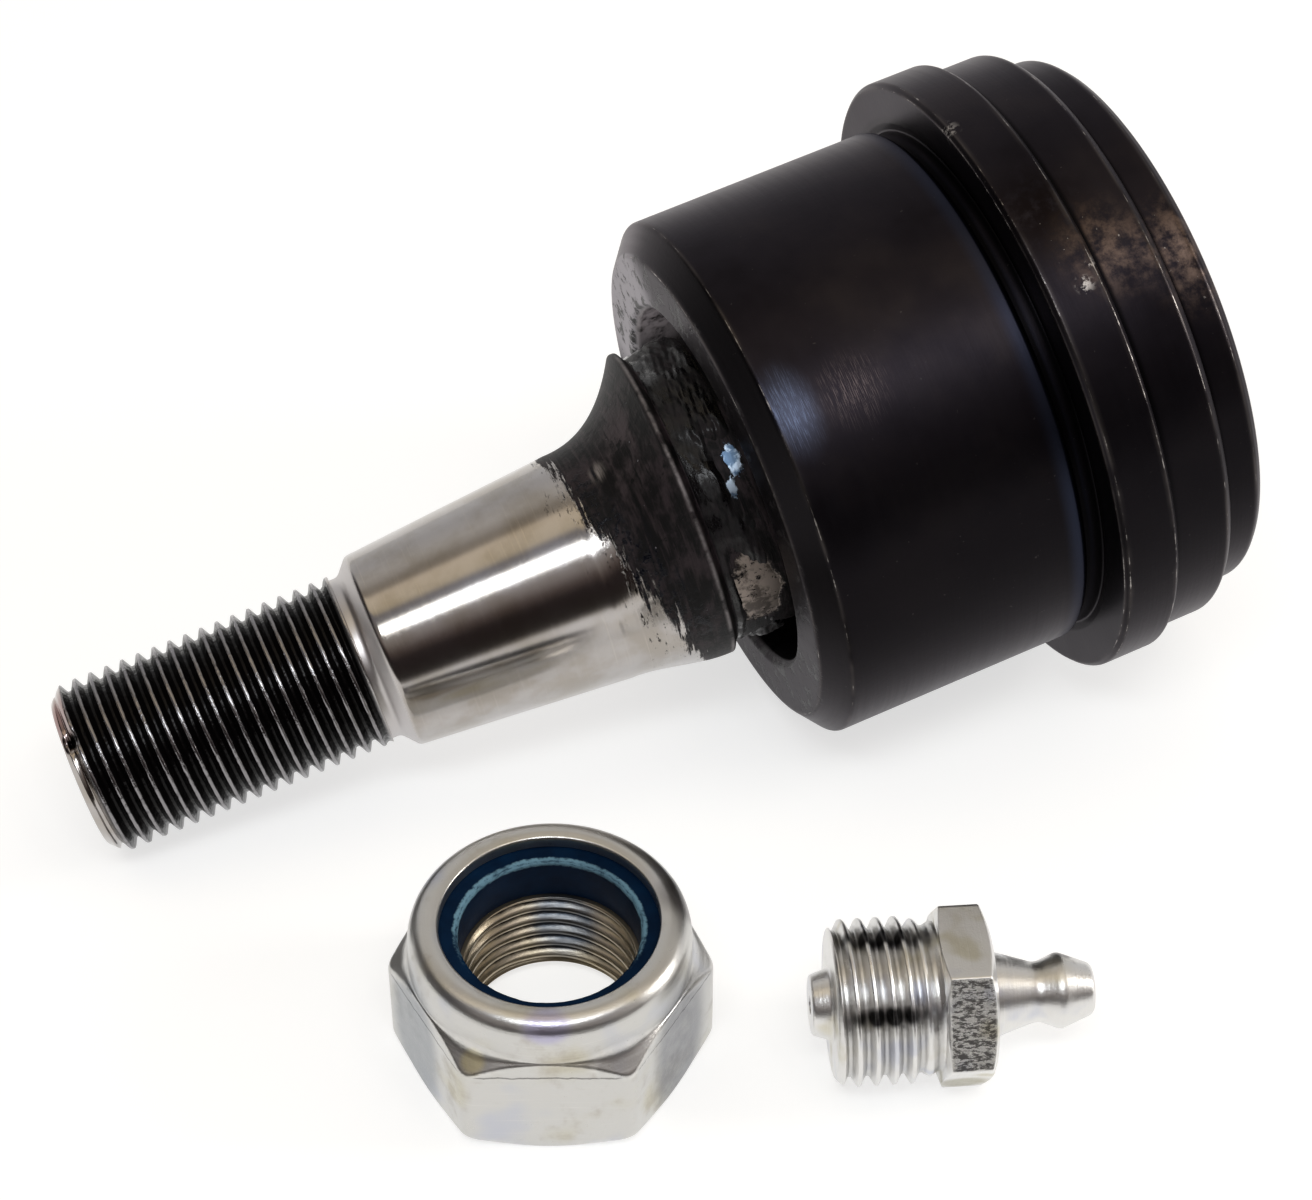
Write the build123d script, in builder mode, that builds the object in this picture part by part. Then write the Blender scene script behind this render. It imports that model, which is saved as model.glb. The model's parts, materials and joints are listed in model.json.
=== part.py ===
"""Eccentric-stud suspension ball joint, with its lock nut and its grease fitting.

The joint lies on its side: it rests on the front edge of its flange and on the edge of its nose
chamfer. The nut stands on its bearing face beside it, and the fitting lies on a hexagon flat.
The origin is the ball's centre, +X is the plan direction of the housing's axis from stud to
cover, and +Z is up. Stations along the joint are measured from the flange's seating face,
positive towards the stud.
"""

import os
from math import asin, atan2, cos, degrees, radians, sin, sqrt

from build123d import *

os.makedirs("parts", exist_ok=True)

# ---- Driving dimensions, millimetres and degrees ----------------------------------------------

# Housing, outside
press_radius = 24.6            # land that is pressed into the knuckle
press_length = 26.5            # seating face to front face
nose_chamfer_length = 2.0
nose_chamfer_depth = 2.5
relief_width = 1.5             # undercut beside the flange
relief_depth = 0.7
relief_chamfer = 0.5
relief_sink = 0.3              # how far the undercut bites into the flange's face
seating_clearance = 0.15       # seating face starts this far outside the land
flange_radius = 28.45
flange_length = 5.3
flange_edge = 0.4
band_radius = 27.3             # second, plain band behind the flange
band_length = 6.0
band_edge = 0.7
rim_radius = 25.35              # rim that is rolled over the cover
rim_length = 4.2
rim_edge = 0.9

# Housing, inside
bore_radius = 20.5
front_wall = 6.0               # thickness of the wall round the opening
opening_radius = 17.0
opening_chamfer = 0.6
rim_wall = 2.0                # wall round the cover
lip_thickness = 1.5            # rolled lip behind the cover
lip_overlap = 2.4

# Ball and sockets
ball_radius = 17.0
ball_depth = 15.2              # ball centre behind the front face
ball_flat_depth = 13.0         # rear flat of the ball, from its centre
liner_thickness = 1.34
liner_front_angle = 57.0       # polar angles on the ball, from the stud's direction
liner_rear_angle = 95.0
liner_slot_count = 6
liner_slot_width = 1.6
liner_slot_depth = 5.0
seat_play = 0.03               # seat ring's front face behind the wall
seat_rear = 5.0                # rear end of the seat ring, behind the ball centre
cup_front = 7.5                # front of the pressure cup, behind the ball centre
cup_rear = 17.5
cup_hole_radius = 8.0
cup_groove_width = 2.4
cup_groove_depth = 0.8
cup_groove_count = 4
socket_clearance = 0.08        # between each pair of spherical faces
bore_clearance = 0.06          # rings that turn or slide in the housing's bore

# Stud
collar_radius = 14.5
collar_height = 19.3           # collar edge, from the ball centre
collar_land = 0.5
collar_step = 0.5
journal_radius = 13.6
eccentricity = 2.5             # shank axis from the ball's own axis
taper_large_radius = 10.75
taper_small_radius = 9.1
taper_ratio = 6.0              # one in six on diameter
flare_length = 8.9
flare_sections = 7
shank_chamfer = 0.8
neck_radius = 7.6
neck_length = 1.3
thread_radius = 8.0
thread_length = 26.8
thread_chamfer = 1.3

# Cover and preload
cover_thickness = 3.4
cover_hub_radius = 10.4
cover_hub_length = 3.0
cover_edge = 0.5
cover_clearance = 0.05
spring_inner_radius = 12.2
spring_outer_radius = 19.2
spring_thickness = 1.6

# Lock nut
nut_flats = 24.0
nut_height = 15.0
nut_hex_height = 10.8
nut_chamfer_drop = 1.9         # how far the corners are turned down
nut_base_chamfer = 1.2         # height of the turned edge under the nut
nut_base_land = 0.3            # bearing face stops this far inside the flats
nut_bore_radius = 7.19         # M16x1.5 minor radius
nut_bore_chamfer = 1.2
crown_radius = 11.85
crown_round = 2.0
crown_lip_radius = 9.2
crown_lip_thickness = 1.4
crown_lip_flare = 0.95         # chamfer of the lip's inner edge
crown_pocket_radius = 10.4
insert_thickness = 4.1
insert_bore_radius = 7.6
insert_edge = 0.25

# Grease fitting
fitting_nose_length = 1.7
fitting_nose_radius = 2.5
fitting_nose_root_radius = 3.1
fitting_thread_radius = 7.0
fitting_thread_length = 8.9
fitting_thread_chamfer = 0.8
fitting_flats = 14.0
fitting_hex_length = 4.4
fitting_hex_chamfer_drop = 0.7
fitting_seat_chamfer = 0.35
fitting_cone_radius = 3.75
fitting_cone_length = 4.0
fitting_neck_radius = 2.45
fitting_head_radius = 3.25
fitting_head_rise = 1.9
fitting_head_length = 2.9
fitting_tip_radius = 2.1
passage_radius = 0.8
orifice_radius = 0.9
orifice_length = 0.5
chamber_radius = 1.45
chamber_length = 6.0
check_ball_radius = 1.2
check_wire_radius = 0.16
check_coil_radius = 1.0
check_coil_turns = 4
check_clearance = 0.05
fitting_port_radius = 6.2      # tapping hole for M14x1.5

# Where the pieces lie
stud_dip = 12.36               # stud's slope down from the horizontal
stud_turn = 3.9                # stud's direction in plan, off the housing's
eccentric_roll = 46.5          # eccentric's direction about the stud, from straight down
nut_place = (-44.84, -34.53)
nut_turn = -23.1               # direction of two of the nut's corners
flat_turn = 30.0               # turns the fitting's hexagon so that a flat lies on the floor
fitting_place = (-15.9, -48.8)
fitting_turn = -18.7

# ---- Sizes that follow ------------------------------------------------------------------------

front_edge_station = press_length - nose_chamfer_length
lie_angle = degrees(atan2(flange_radius - press_radius, front_edge_station + flange_edge))

flange_back = -flange_length
band_back = flange_back - band_length
rim_back = band_back - rim_length
cover_back = rim_back + lip_thickness
cover_front = cover_back + cover_thickness
cover_seat_radius = rim_radius - rim_wall
cover_radius = cover_seat_radius - cover_clearance
ball_station = press_length - ball_depth
bore_front = press_length - front_wall

liner_inner_radius = ball_radius + socket_clearance
liner_outer_radius = liner_inner_radius + liner_thickness
seat_inner_radius = liner_outer_radius + socket_clearance
seat_front = bore_front - ball_station - seat_play
ring_radius = bore_radius - bore_clearance
cup_inner_radius = ball_radius + socket_clearance

taper_length = (taper_large_radius - taper_small_radius) * 2.0 * taper_ratio
taper_base = collar_height + flare_length
taper_end = taper_base + taper_length
thread_start = taper_end + shank_chamfer + neck_length
thread_end = thread_start + thread_length


# ---- Frames -----------------------------------------------------------------------------------

def section_plane(frame):
    """The plane that holds the frame's axis: its x is radial, its y runs along the axis."""
    return Plane(
        origin=frame.origin,
        x_dir=frame.x_dir,
        z_dir=frame.x_dir.cross(frame.z_dir),
    )


def frame_axis(frame):
    """The frame's own z direction, as an axis to revolve about."""
    return Axis(frame.origin, frame.z_dir)


lie = radians(lie_angle)
ball_centre = Vector(0, 0, 0)
housing_direction = Vector(-cos(lie), 0, -sin(lie))
housing_frame = Plane(
    origin=ball_centre - housing_direction * ball_station,
    x_dir=(-sin(lie), 0, cos(lie)),
    z_dir=housing_direction,
)
seat_frame = Plane(origin=ball_centre, x_dir=housing_frame.x_dir, z_dir=housing_direction)
flange_contact = housing_frame.from_local_coords((-flange_radius, 0, -flange_edge))
floor_height = flange_contact.Z

dip = radians(stud_dip)
turn = radians(stud_turn)
roll = radians(eccentric_roll)
stud_direction = Vector(-cos(dip) * cos(turn), cos(dip) * sin(turn), -sin(dip))
stud_down = (Vector(0, 0, -1) + stud_direction * stud_direction.dot(Vector(0, 0, 1))).normalized()
stud_side = stud_direction.cross(stud_down)
eccentric_direction = stud_down * cos(roll) + stud_side * sin(roll)
ball_frame = Plane(origin=ball_centre, x_dir=eccentric_direction, z_dir=stud_direction)
shank_frame = Plane(
    origin=ball_frame.from_local_coords((eccentricity, 0, 0)),
    x_dir=ball_frame.x_dir,
    z_dir=ball_frame.z_dir,
)

nut_frame = Plane(
    origin=(nut_place[0], nut_place[1], floor_height),
    x_dir=(cos(radians(nut_turn)), sin(radians(nut_turn)), 0),
    z_dir=(0, 0, 1),
)

fitting_yaw = radians(fitting_turn)
fitting_lift = max(fitting_flats / 2.0, fitting_thread_radius)
fitting_frame = Plane(
    origin=(fitting_place[0], fitting_place[1], floor_height + fitting_lift),
    x_dir=(0, 0, 1),
    z_dir=(cos(fitting_yaw), sin(fitting_yaw), 0),
)


def write(part, name):
    """Label a finished piece and write it as its own STEP file."""
    part.label = name
    export_step(part, f"parts/{name}.step")


# ---- Housing ----------------------------------------------------------------------------------

def housing_outline():
    """Closed half-section of the housing, radius against station."""
    relief_radius = press_radius - relief_depth
    lip_radius = cover_seat_radius - lip_overlap
    return [
        (opening_radius, bore_front),
        (opening_radius, press_length - opening_chamfer),
        (opening_radius + opening_chamfer, press_length),
        (press_radius - nose_chamfer_depth, press_length),
        (press_radius, front_edge_station),
        (press_radius, relief_width + relief_chamfer),
        (press_radius - relief_chamfer, relief_width),
        (relief_radius, relief_width),
        (relief_radius, -relief_sink),
        (press_radius + seating_clearance, 0),
        (flange_radius - flange_edge, 0),
        (flange_radius, -flange_edge),
        (flange_radius, flange_back + flange_edge),
        (flange_radius - flange_edge, flange_back),
        (band_radius, flange_back),
        (band_radius, band_back + band_edge),
        (band_radius - band_edge, band_back),
        (rim_radius, band_back),
        (rim_radius, rim_back + rim_edge),
        (rim_radius - rim_edge, rim_back),
        (lip_radius, rim_back),
        (lip_radius, cover_back),
        (cover_seat_radius, cover_back),
        (cover_seat_radius, cover_front),
        (bore_radius, cover_front),
        (bore_radius, bore_front),
    ]


with BuildPart() as housing:
    with BuildSketch(section_plane(housing_frame)):
        with BuildLine():
            Polyline(*housing_outline(), close=True)
        make_face()
    revolve(axis=frame_axis(housing_frame))
write(housing.part, "housing")


# ---- Seat ring, ball liner and pressure cup ---------------------------------------------------

def sphere_radius_at(sphere, distance):
    """Radius of a sphere's section at a distance from its centre."""
    return sqrt(sphere ** 2 - distance ** 2)


with BuildPart() as seat_ring:
    with BuildSketch(section_plane(seat_frame)):
        with BuildLine():
            mouth = (sphere_radius_at(seat_inner_radius, seat_front), seat_front)
            equator = (seat_inner_radius, 0)
            middle_angle = asin(seat_front / seat_inner_radius) / 2.0
            middle = (seat_inner_radius * cos(middle_angle), seat_inner_radius * sin(middle_angle))
            ThreePointArc(mouth, middle, equator)
            Polyline(
                equator,
                (seat_inner_radius, -seat_rear),
                (ring_radius, -seat_rear),
                (ring_radius, seat_front),
                mouth,
            )
        make_face()
    revolve(axis=frame_axis(seat_frame))
write(seat_ring.part, "seat_ring")


def on_sphere(sphere, polar):
    """Point of a half-section at a polar angle in degrees, measured from the axis."""
    return (sphere * sin(radians(polar)), sphere * cos(radians(polar)))


with BuildPart() as ball_liner:
    with BuildSketch(section_plane(ball_frame)):
        with BuildLine():
            liner_middle_angle = (liner_front_angle + liner_rear_angle) / 2.0
            ThreePointArc(
                on_sphere(liner_outer_radius, liner_front_angle),
                on_sphere(liner_outer_radius, liner_middle_angle),
                on_sphere(liner_outer_radius, liner_rear_angle),
            )
            Line(
                on_sphere(liner_outer_radius, liner_rear_angle),
                on_sphere(liner_inner_radius, liner_rear_angle),
            )
            ThreePointArc(
                on_sphere(liner_inner_radius, liner_rear_angle),
                on_sphere(liner_inner_radius, liner_middle_angle),
                on_sphere(liner_inner_radius, liner_front_angle),
            )
            Line(
                on_sphere(liner_inner_radius, liner_front_angle),
                on_sphere(liner_outer_radius, liner_front_angle),
            )
        make_face()
    revolve(axis=frame_axis(ball_frame))
    # Grease slots, open at the rear edge
    liner_rear = liner_inner_radius * cos(radians(liner_rear_angle))
    slot_reach = 2.0 * (liner_outer_radius - liner_inner_radius + liner_thickness)
    with BuildSketch(ball_frame.offset(liner_rear - liner_thickness)):
        with PolarLocations(liner_outer_radius, liner_slot_count):
            Rectangle(slot_reach, liner_slot_width)
    extrude(amount=liner_slot_depth + liner_thickness, mode=Mode.SUBTRACT)
write(ball_liner.part, "ball_liner")


with BuildPart() as pressure_cup:
    with BuildSketch(section_plane(seat_frame)):
        with BuildLine():
            cup_mouth = (sphere_radius_at(cup_inner_radius, cup_front), -cup_front)
            hole_depth = sqrt(cup_inner_radius ** 2 - cup_hole_radius ** 2)
            cup_floor = (cup_hole_radius, -hole_depth)
            cup_angle = (asin(cup_front / cup_inner_radius) + asin(hole_depth / cup_inner_radius)) / 2.0
            cup_middle = (cup_inner_radius * cos(cup_angle), -cup_inner_radius * sin(cup_angle))
            ThreePointArc(cup_mouth, cup_middle, cup_floor)
            Polyline(
                cup_floor,
                (cup_hole_radius, -cup_rear),
                (ring_radius, -cup_rear),
                (ring_radius, -cup_front),
                cup_mouth,
            )
        make_face()
    revolve(axis=frame_axis(seat_frame))
    # Radial grease grooves in the front face
    with BuildSketch(seat_frame.offset(-cup_front)):
        with PolarLocations(ring_radius, cup_groove_count):
            Rectangle(ring_radius - cup_hole_radius, cup_groove_width)
    extrude(amount=-cup_groove_depth, mode=Mode.SUBTRACT)
write(pressure_cup.part, "pressure_cup")


# ---- Stud -------------------------------------------------------------------------------------

def flare_radius(share):
    """Radius of the flare, growing concavely from the taper to the collar."""
    return taper_large_radius + (collar_radius - taper_large_radius) * share ** 2


def flare_shift(share):
    """Distance of the flare's centre from the ball's axis."""
    return eccentricity * (1.0 - share ** 3)


with BuildPart() as ball_stud:
    # Ball, journal and collar, all round the ball's own axis
    with BuildSketch(section_plane(ball_frame)):
        with BuildLine():
            flat_radius = sphere_radius_at(ball_radius, ball_flat_depth)
            root_height = sphere_radius_at(ball_radius, journal_radius)
            Polyline(
                (0, collar_height),
                (0, -ball_flat_depth),
                (flat_radius, -ball_flat_depth),
            )
            ThreePointArc((flat_radius, -ball_flat_depth), (ball_radius, 0), (journal_radius, root_height))
            Polyline(
                (journal_radius, root_height),
                (journal_radius, collar_height - collar_land - collar_step),
                (collar_radius, collar_height - collar_land),
                (collar_radius, collar_height),
                (0, collar_height),
            )
        make_face()
    revolve(axis=frame_axis(ball_frame))
    # Eccentric flare: circles whose centre slides from the ball's axis to the shank's
    for step in range(flare_sections):
        share = 1.0 - step / (flare_sections - 1)
        height = collar_height + flare_length * (1.0 - share)
        with BuildSketch(ball_frame.offset(height)):
            with Locations((flare_shift(share), 0)):
                Circle(flare_radius(share))
    loft()
    # Taper, neck and thread, round the eccentric axis
    with BuildSketch(section_plane(shank_frame)):
        with BuildLine():
            Polyline(
                (0, taper_base),
                (taper_large_radius, taper_base),
                (taper_small_radius, taper_end),
                (neck_radius, taper_end + shank_chamfer),
                (neck_radius, thread_start),
                (thread_radius, thread_start),
                (thread_radius, thread_end - thread_chamfer),
                (thread_radius - thread_chamfer, thread_end),
                (0, thread_end),
                close=True,
            )
        make_face()
    revolve(axis=frame_axis(shank_frame))
write(ball_stud.part, "ball_stud")


# ---- Preload spring and cover -----------------------------------------------------------------

cup_back_station = ball_station - cup_rear

with BuildPart() as preload_spring:
    with BuildSketch(section_plane(housing_frame)):
        with BuildLine():
            Polyline(
                (spring_inner_radius, cup_back_station),
                (spring_inner_radius, cup_back_station - spring_thickness),
                (spring_outer_radius, cover_front),
                (spring_outer_radius, cover_front + spring_thickness),
                close=True,
            )
        make_face()
    revolve(axis=frame_axis(housing_frame))
write(preload_spring.part, "preload_spring")


with BuildPart() as cover:
    with BuildSketch(section_plane(housing_frame)):
        with BuildLine():
            Polyline(
                (fitting_port_radius, cover_back + cover_edge),
                (fitting_port_radius + cover_edge, cover_back),
                (cover_radius, cover_back),
                (cover_radius, cover_front),
                (cover_hub_radius, cover_front),
                (cover_hub_radius, cover_front + cover_hub_length - cover_edge),
                (cover_hub_radius - cover_edge, cover_front + cover_hub_length),
                (fitting_port_radius, cover_front + cover_hub_length),
                close=True,
            )
        make_face()
    revolve(axis=frame_axis(housing_frame))
write(cover.part, "cover")


# ---- Lock nut ---------------------------------------------------------------------------------

nut_corner_radius = nut_flats / sqrt(3.0)
insert_top = nut_height - crown_lip_thickness
insert_bottom = insert_top - insert_thickness

with BuildPart() as lock_nut:
    with BuildSketch(nut_frame):
        RegularPolygon(nut_flats / 2.0, 6, major_radius=False)
    extrude(amount=nut_height)
    # Turned outline: base chamfer, corners turned down, then the round crown
    with BuildSketch(section_plane(nut_frame)):
        with BuildLine():
            base_radius = nut_flats / 2.0 - nut_base_land
            shoulder = nut_hex_height - nut_chamfer_drop
            Polyline((0, 0), (base_radius, 0), (nut_corner_radius, nut_base_chamfer))
            Line((nut_corner_radius, nut_base_chamfer), (nut_corner_radius, shoulder))
            Line((nut_corner_radius, shoulder), (crown_radius, nut_hex_height))
            Line((crown_radius, nut_hex_height), (crown_radius, nut_height - crown_round))
            RadiusArc(
                (crown_radius, nut_height - crown_round),
                (crown_radius - crown_round, nut_height),
                -crown_round,
            )
            Polyline((crown_radius - crown_round, nut_height), (0, nut_height), (0, 0))
        make_face()
    revolve(axis=frame_axis(nut_frame), mode=Mode.INTERSECT)
    # Threaded bore, insert pocket and the lip rolled over the insert
    with BuildSketch(section_plane(nut_frame)):
        with BuildLine():
            Polyline(
                (0, 0),
                (nut_bore_radius + nut_bore_chamfer, 0),
                (nut_bore_radius, nut_bore_chamfer),
                (nut_bore_radius, insert_bottom),
                (crown_pocket_radius, insert_bottom),
                (crown_pocket_radius, insert_top),
                (crown_lip_radius, insert_top),
                (crown_lip_radius, nut_height - crown_lip_flare),
                (crown_lip_radius + crown_lip_flare, nut_height),
                (0, nut_height),
                close=True,
            )
        make_face()
    revolve(axis=frame_axis(nut_frame), mode=Mode.SUBTRACT)
write(lock_nut.part, "lock_nut")


with BuildPart() as nylon_insert:
    with BuildSketch(section_plane(nut_frame)):
        with BuildLine():
            Polyline(
                (insert_bore_radius, insert_bottom),
                (crown_pocket_radius, insert_bottom),
                (crown_pocket_radius, insert_top),
                (insert_bore_radius + insert_edge, insert_top),
                (insert_bore_radius, insert_top - insert_edge),
                close=True,
            )
        make_face()
    revolve(axis=frame_axis(nut_frame))
write(nylon_insert.part, "nylon_insert")


# ---- Grease fitting ---------------------------------------------------------------------------
# Its stations are measured from the hexagon's seating face, positive towards the head.

nose_tip = -fitting_thread_length - fitting_nose_length
cone_start = fitting_hex_length
neck_station = cone_start + fitting_cone_length
head_station = neck_station + fitting_head_rise
head_tip = head_station + fitting_head_length
fitting_corner_radius = fitting_flats / sqrt(3.0)
chamber_front = head_tip - orifice_length
chamber_rear = chamber_front - chamber_length

with BuildPart() as fitting_body:
    # Hexagon with both ends turned
    with BuildSketch(fitting_frame):
        RegularPolygon(fitting_flats / 2.0, 6, major_radius=False, rotation=flat_turn)
    extrude(amount=fitting_hex_length)
    with BuildSketch(section_plane(fitting_frame)):
        with BuildLine():
            Polyline(
                (0, 0),
                (fitting_flats / 2.0, 0),
                (fitting_corner_radius, fitting_seat_chamfer),
                (fitting_corner_radius, fitting_hex_length - fitting_hex_chamfer_drop),
                (fitting_flats / 2.0 - fitting_hex_chamfer_drop, fitting_hex_length),
                (0, fitting_hex_length),
                close=True,
            )
        make_face()
    revolve(axis=frame_axis(fitting_frame), mode=Mode.INTERSECT)
    # Nose, thread, cone and head
    with BuildSketch(section_plane(fitting_frame)):
        with BuildLine():
            Polyline(
                (0, nose_tip),
                (fitting_nose_radius, nose_tip),
                (fitting_nose_root_radius, -fitting_thread_length),
                (fitting_thread_radius - fitting_thread_chamfer, -fitting_thread_length),
                (fitting_thread_radius, -fitting_thread_length + fitting_thread_chamfer),
                (fitting_thread_radius, 0),
                (fitting_cone_radius, 0),
                (fitting_cone_radius, cone_start),
                (fitting_neck_radius, neck_station),
                (fitting_head_radius, head_station),
                (fitting_tip_radius, head_tip),
                (0, head_tip),
                close=True,
            )
        make_face()
    revolve(axis=frame_axis(fitting_frame))
    # Passage, check-ball chamber and orifice
    with BuildSketch(section_plane(fitting_frame)):
        with BuildLine():
            Polyline(
                (0, nose_tip),
                (passage_radius, nose_tip),
                (passage_radius, chamber_rear),
                (chamber_radius, chamber_rear),
                (chamber_radius, chamber_front - (chamber_radius - orifice_radius)),
                (orifice_radius, chamber_front),
                (orifice_radius, head_tip),
                (0, head_tip),
                close=True,
            )
        make_face()
    revolve(axis=frame_axis(fitting_frame), mode=Mode.SUBTRACT)
write(fitting_body.part, "fitting_body")


# The ball seats on the 45 degree cone behind the orifice
cone_apex = chamber_front + orifice_radius
ball_seat_station = cone_apex - (check_ball_radius + check_clearance) * sqrt(2.0)
check_ball_frame = fitting_frame.offset(ball_seat_station)

with BuildPart() as check_ball:
    with BuildSketch(section_plane(check_ball_frame)):
        with BuildLine():
            ThreePointArc((0, check_ball_radius), (check_ball_radius, 0), (0, -check_ball_radius))
            Line((0, -check_ball_radius), (0, check_ball_radius))
        make_face()
    revolve(axis=frame_axis(check_ball_frame))
write(check_ball.part, "check_ball")


spring_rear = chamber_rear + check_wire_radius + check_clearance
spring_touch = sqrt((check_ball_radius + check_wire_radius + check_clearance) ** 2 - check_coil_radius ** 2)
spring_front = ball_seat_station - spring_touch
coil_height = spring_front - spring_rear
coil_frame = fitting_frame.offset(spring_rear)

with BuildPart() as check_spring:
    with BuildLine() as coil_line:
        Helix(
            pitch=coil_height / check_coil_turns,
            height=coil_height,
            radius=check_coil_radius,
            center=coil_frame.origin,
            direction=coil_frame.z_dir,
        )
    with BuildSketch(Plane(origin=coil_line.line @ 0, z_dir=coil_line.line % 0)):
        Circle(check_wire_radius)
    sweep(path=coil_line.line)
write(check_spring.part, "check_spring")
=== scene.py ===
# %% [markdown]
# # A suspension ball joint, its lock nut and its grease fitting
#
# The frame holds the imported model: every piece at its real size and place, in metres, with the
# bodies that move. This lesson dresses it. Turned and threaded parts are surfaces worked out with
# numpy, and their finishes are node materials written as Python expressions.

# %% Load the frame
import json
import math

import bpy
import numpy as np
from mathutils import Matrix, Vector


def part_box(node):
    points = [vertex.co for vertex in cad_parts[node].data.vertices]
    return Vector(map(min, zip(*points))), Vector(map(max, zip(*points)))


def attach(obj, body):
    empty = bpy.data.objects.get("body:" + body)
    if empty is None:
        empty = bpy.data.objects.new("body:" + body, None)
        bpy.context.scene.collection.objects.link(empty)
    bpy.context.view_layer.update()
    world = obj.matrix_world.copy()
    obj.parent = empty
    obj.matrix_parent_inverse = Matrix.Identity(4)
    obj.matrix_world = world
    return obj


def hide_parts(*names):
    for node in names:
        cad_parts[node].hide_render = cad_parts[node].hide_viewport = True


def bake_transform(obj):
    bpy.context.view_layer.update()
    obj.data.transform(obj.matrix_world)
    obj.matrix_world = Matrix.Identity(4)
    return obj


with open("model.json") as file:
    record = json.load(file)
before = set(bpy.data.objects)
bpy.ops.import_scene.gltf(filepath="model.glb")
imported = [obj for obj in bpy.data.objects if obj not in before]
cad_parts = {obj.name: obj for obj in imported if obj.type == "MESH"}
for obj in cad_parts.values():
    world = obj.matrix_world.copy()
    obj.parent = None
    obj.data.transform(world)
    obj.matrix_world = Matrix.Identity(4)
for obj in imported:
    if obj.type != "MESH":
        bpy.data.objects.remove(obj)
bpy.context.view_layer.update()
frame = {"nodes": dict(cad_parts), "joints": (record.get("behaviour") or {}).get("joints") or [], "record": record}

MM = 0.001
TAU = 2.0 * math.pi

# %% [markdown]
# ## Axes of the three loose things
#
# A turned part is easiest to describe as radius against height along its own axis. The frame's
# record holds the axes of the housing and the stud as joint axes, so they are read from there and
# not typed twice. The stud's shank is eccentric: its axis is parallel to the ball's, a little to
# one side, and the thread's mount tells where it runs.

# %% Read the axes
joints = {joint["name"]: joint for joint in frame["joints"]}
mounts = {mount["name"]: mount for mount in frame["record"]["mounts"]}


class Spindle:
    """An axis in space with two directions across it, for placing turned surfaces."""

    def __init__(self, origin, along, across):
        self.origin = np.array(origin, float)
        self.along = np.array(along, float) / np.linalg.norm(along)
        across = np.array(across, float)
        across = across - self.along * across.dot(self.along)
        self.across = across / np.linalg.norm(across)
        self.side = np.cross(self.along, self.across)


ball_centre = np.array(joints["stud_spin"]["pos_m"])
stud_axis = np.array(joints["stud_spin"]["axis"])
housing_axis = np.array(joints["seat_turn"]["axis"])
thread_point = np.array(mounts["stud_thread"]["pos_m"]) - ball_centre
eccentric = thread_point - stud_axis * thread_point.dot(stud_axis)
eccentricity = float(np.linalg.norm(eccentric))
stud_spindle = Spindle(ball_centre, stud_axis, eccentric)
housing_spindle = Spindle(ball_centre, housing_axis, (0, 0, 1))

nut_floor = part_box("lock_nut")[0][2]
nut_point = mounts["nut_thread"]["pos_m"]
NUT_TURN = math.radians(-23.1)
nut_spindle = Spindle(
    (nut_point[0], nut_point[1], nut_floor),
    (0, 0, 1),
    (math.cos(NUT_TURN), math.sin(NUT_TURN), 0),
)

fitting_axis = -np.array(joints["check_valve_slide"]["axis"])
THREAD_MIDDLE = 4.05 * MM
fitting_seat = np.array(mounts["fitting_thread"]["pos_m"]) + fitting_axis * THREAD_MIDDLE
fitting_spindle = Spindle(fitting_seat, fitting_axis, (0, 0, 1))
print("eccentricity", round(eccentricity * 1000, 2), "mm")

# %% [markdown]
# ## The camera
#
# Product pictures of small parts are taken from above with a long lens. The camera is placed by
# three plain facts: the point on the table that it looks at, how steeply it looks down, and how
# far away it stands. The lens follows from the width of the picture in focal lengths.

# %% Place the camera
IMAGE_WIDTH = 1312
FOCAL_PIXELS = 3400.0
SENSOR_WIDTH = 36.0
LOOK_AT = (-15.47 * MM, 11.80 * MM)
LOOK_DOWN = math.radians(43.35)
LOOK_TURN = math.radians(-23.13)
CAMERA_DISTANCE = 330.0 * MM

floor_height = min(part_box(name)[0][2] for name in ("housing", "lock_nut", "fitting_body"))
forward = Vector((-math.sin(LOOK_TURN), math.cos(LOOK_TURN), 0.0))
target = Vector((LOOK_AT[0], LOOK_AT[1], floor_height))
view_line = forward * math.cos(LOOK_DOWN) - Vector((0, 0, 1)) * math.sin(LOOK_DOWN)


def add_object(name, data):
    """A new object in the scene."""
    made = bpy.data.objects.new(name, data)
    bpy.context.scene.collection.objects.link(made)
    return made


camera_data = bpy.data.cameras.new("product_camera")
camera_data.sensor_fit = "HORIZONTAL"
camera_data.sensor_width = SENSOR_WIDTH
camera_data.lens = FOCAL_PIXELS / IMAGE_WIDTH * SENSOR_WIDTH
camera_data.clip_start = 0.01
camera = add_object("product_camera", camera_data)
camera.location = target - view_line * CAMERA_DISTANCE
camera.rotation_euler = view_line.to_track_quat("-Z", "Y").to_euler()
bpy.context.scene.camera = camera
print("lens", round(camera_data.lens, 1), "mm, camera at", [round(c, 3) for c in camera.location])

# %% [markdown]
# ## Surfaces on a grid
#
# Every new piece is a grid of points: rows run along a profile and columns run round the axis. A
# profile is a chain of corners, and each corner is softened by a short curve, because no machined
# edge is perfectly sharp, and it is the edge that catches the light. Each corner is a radius, a
# height and a sideways shift of the centre, and each of these may be a whole array with one entry
# for each column. That is how a hexagon and an eccentric shank come out of the same code as a
# plain turned part.

# %% Profiles with softened corners
CURVE = np.linspace(0.0, 1.0, 7)[:, None, None]


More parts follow.
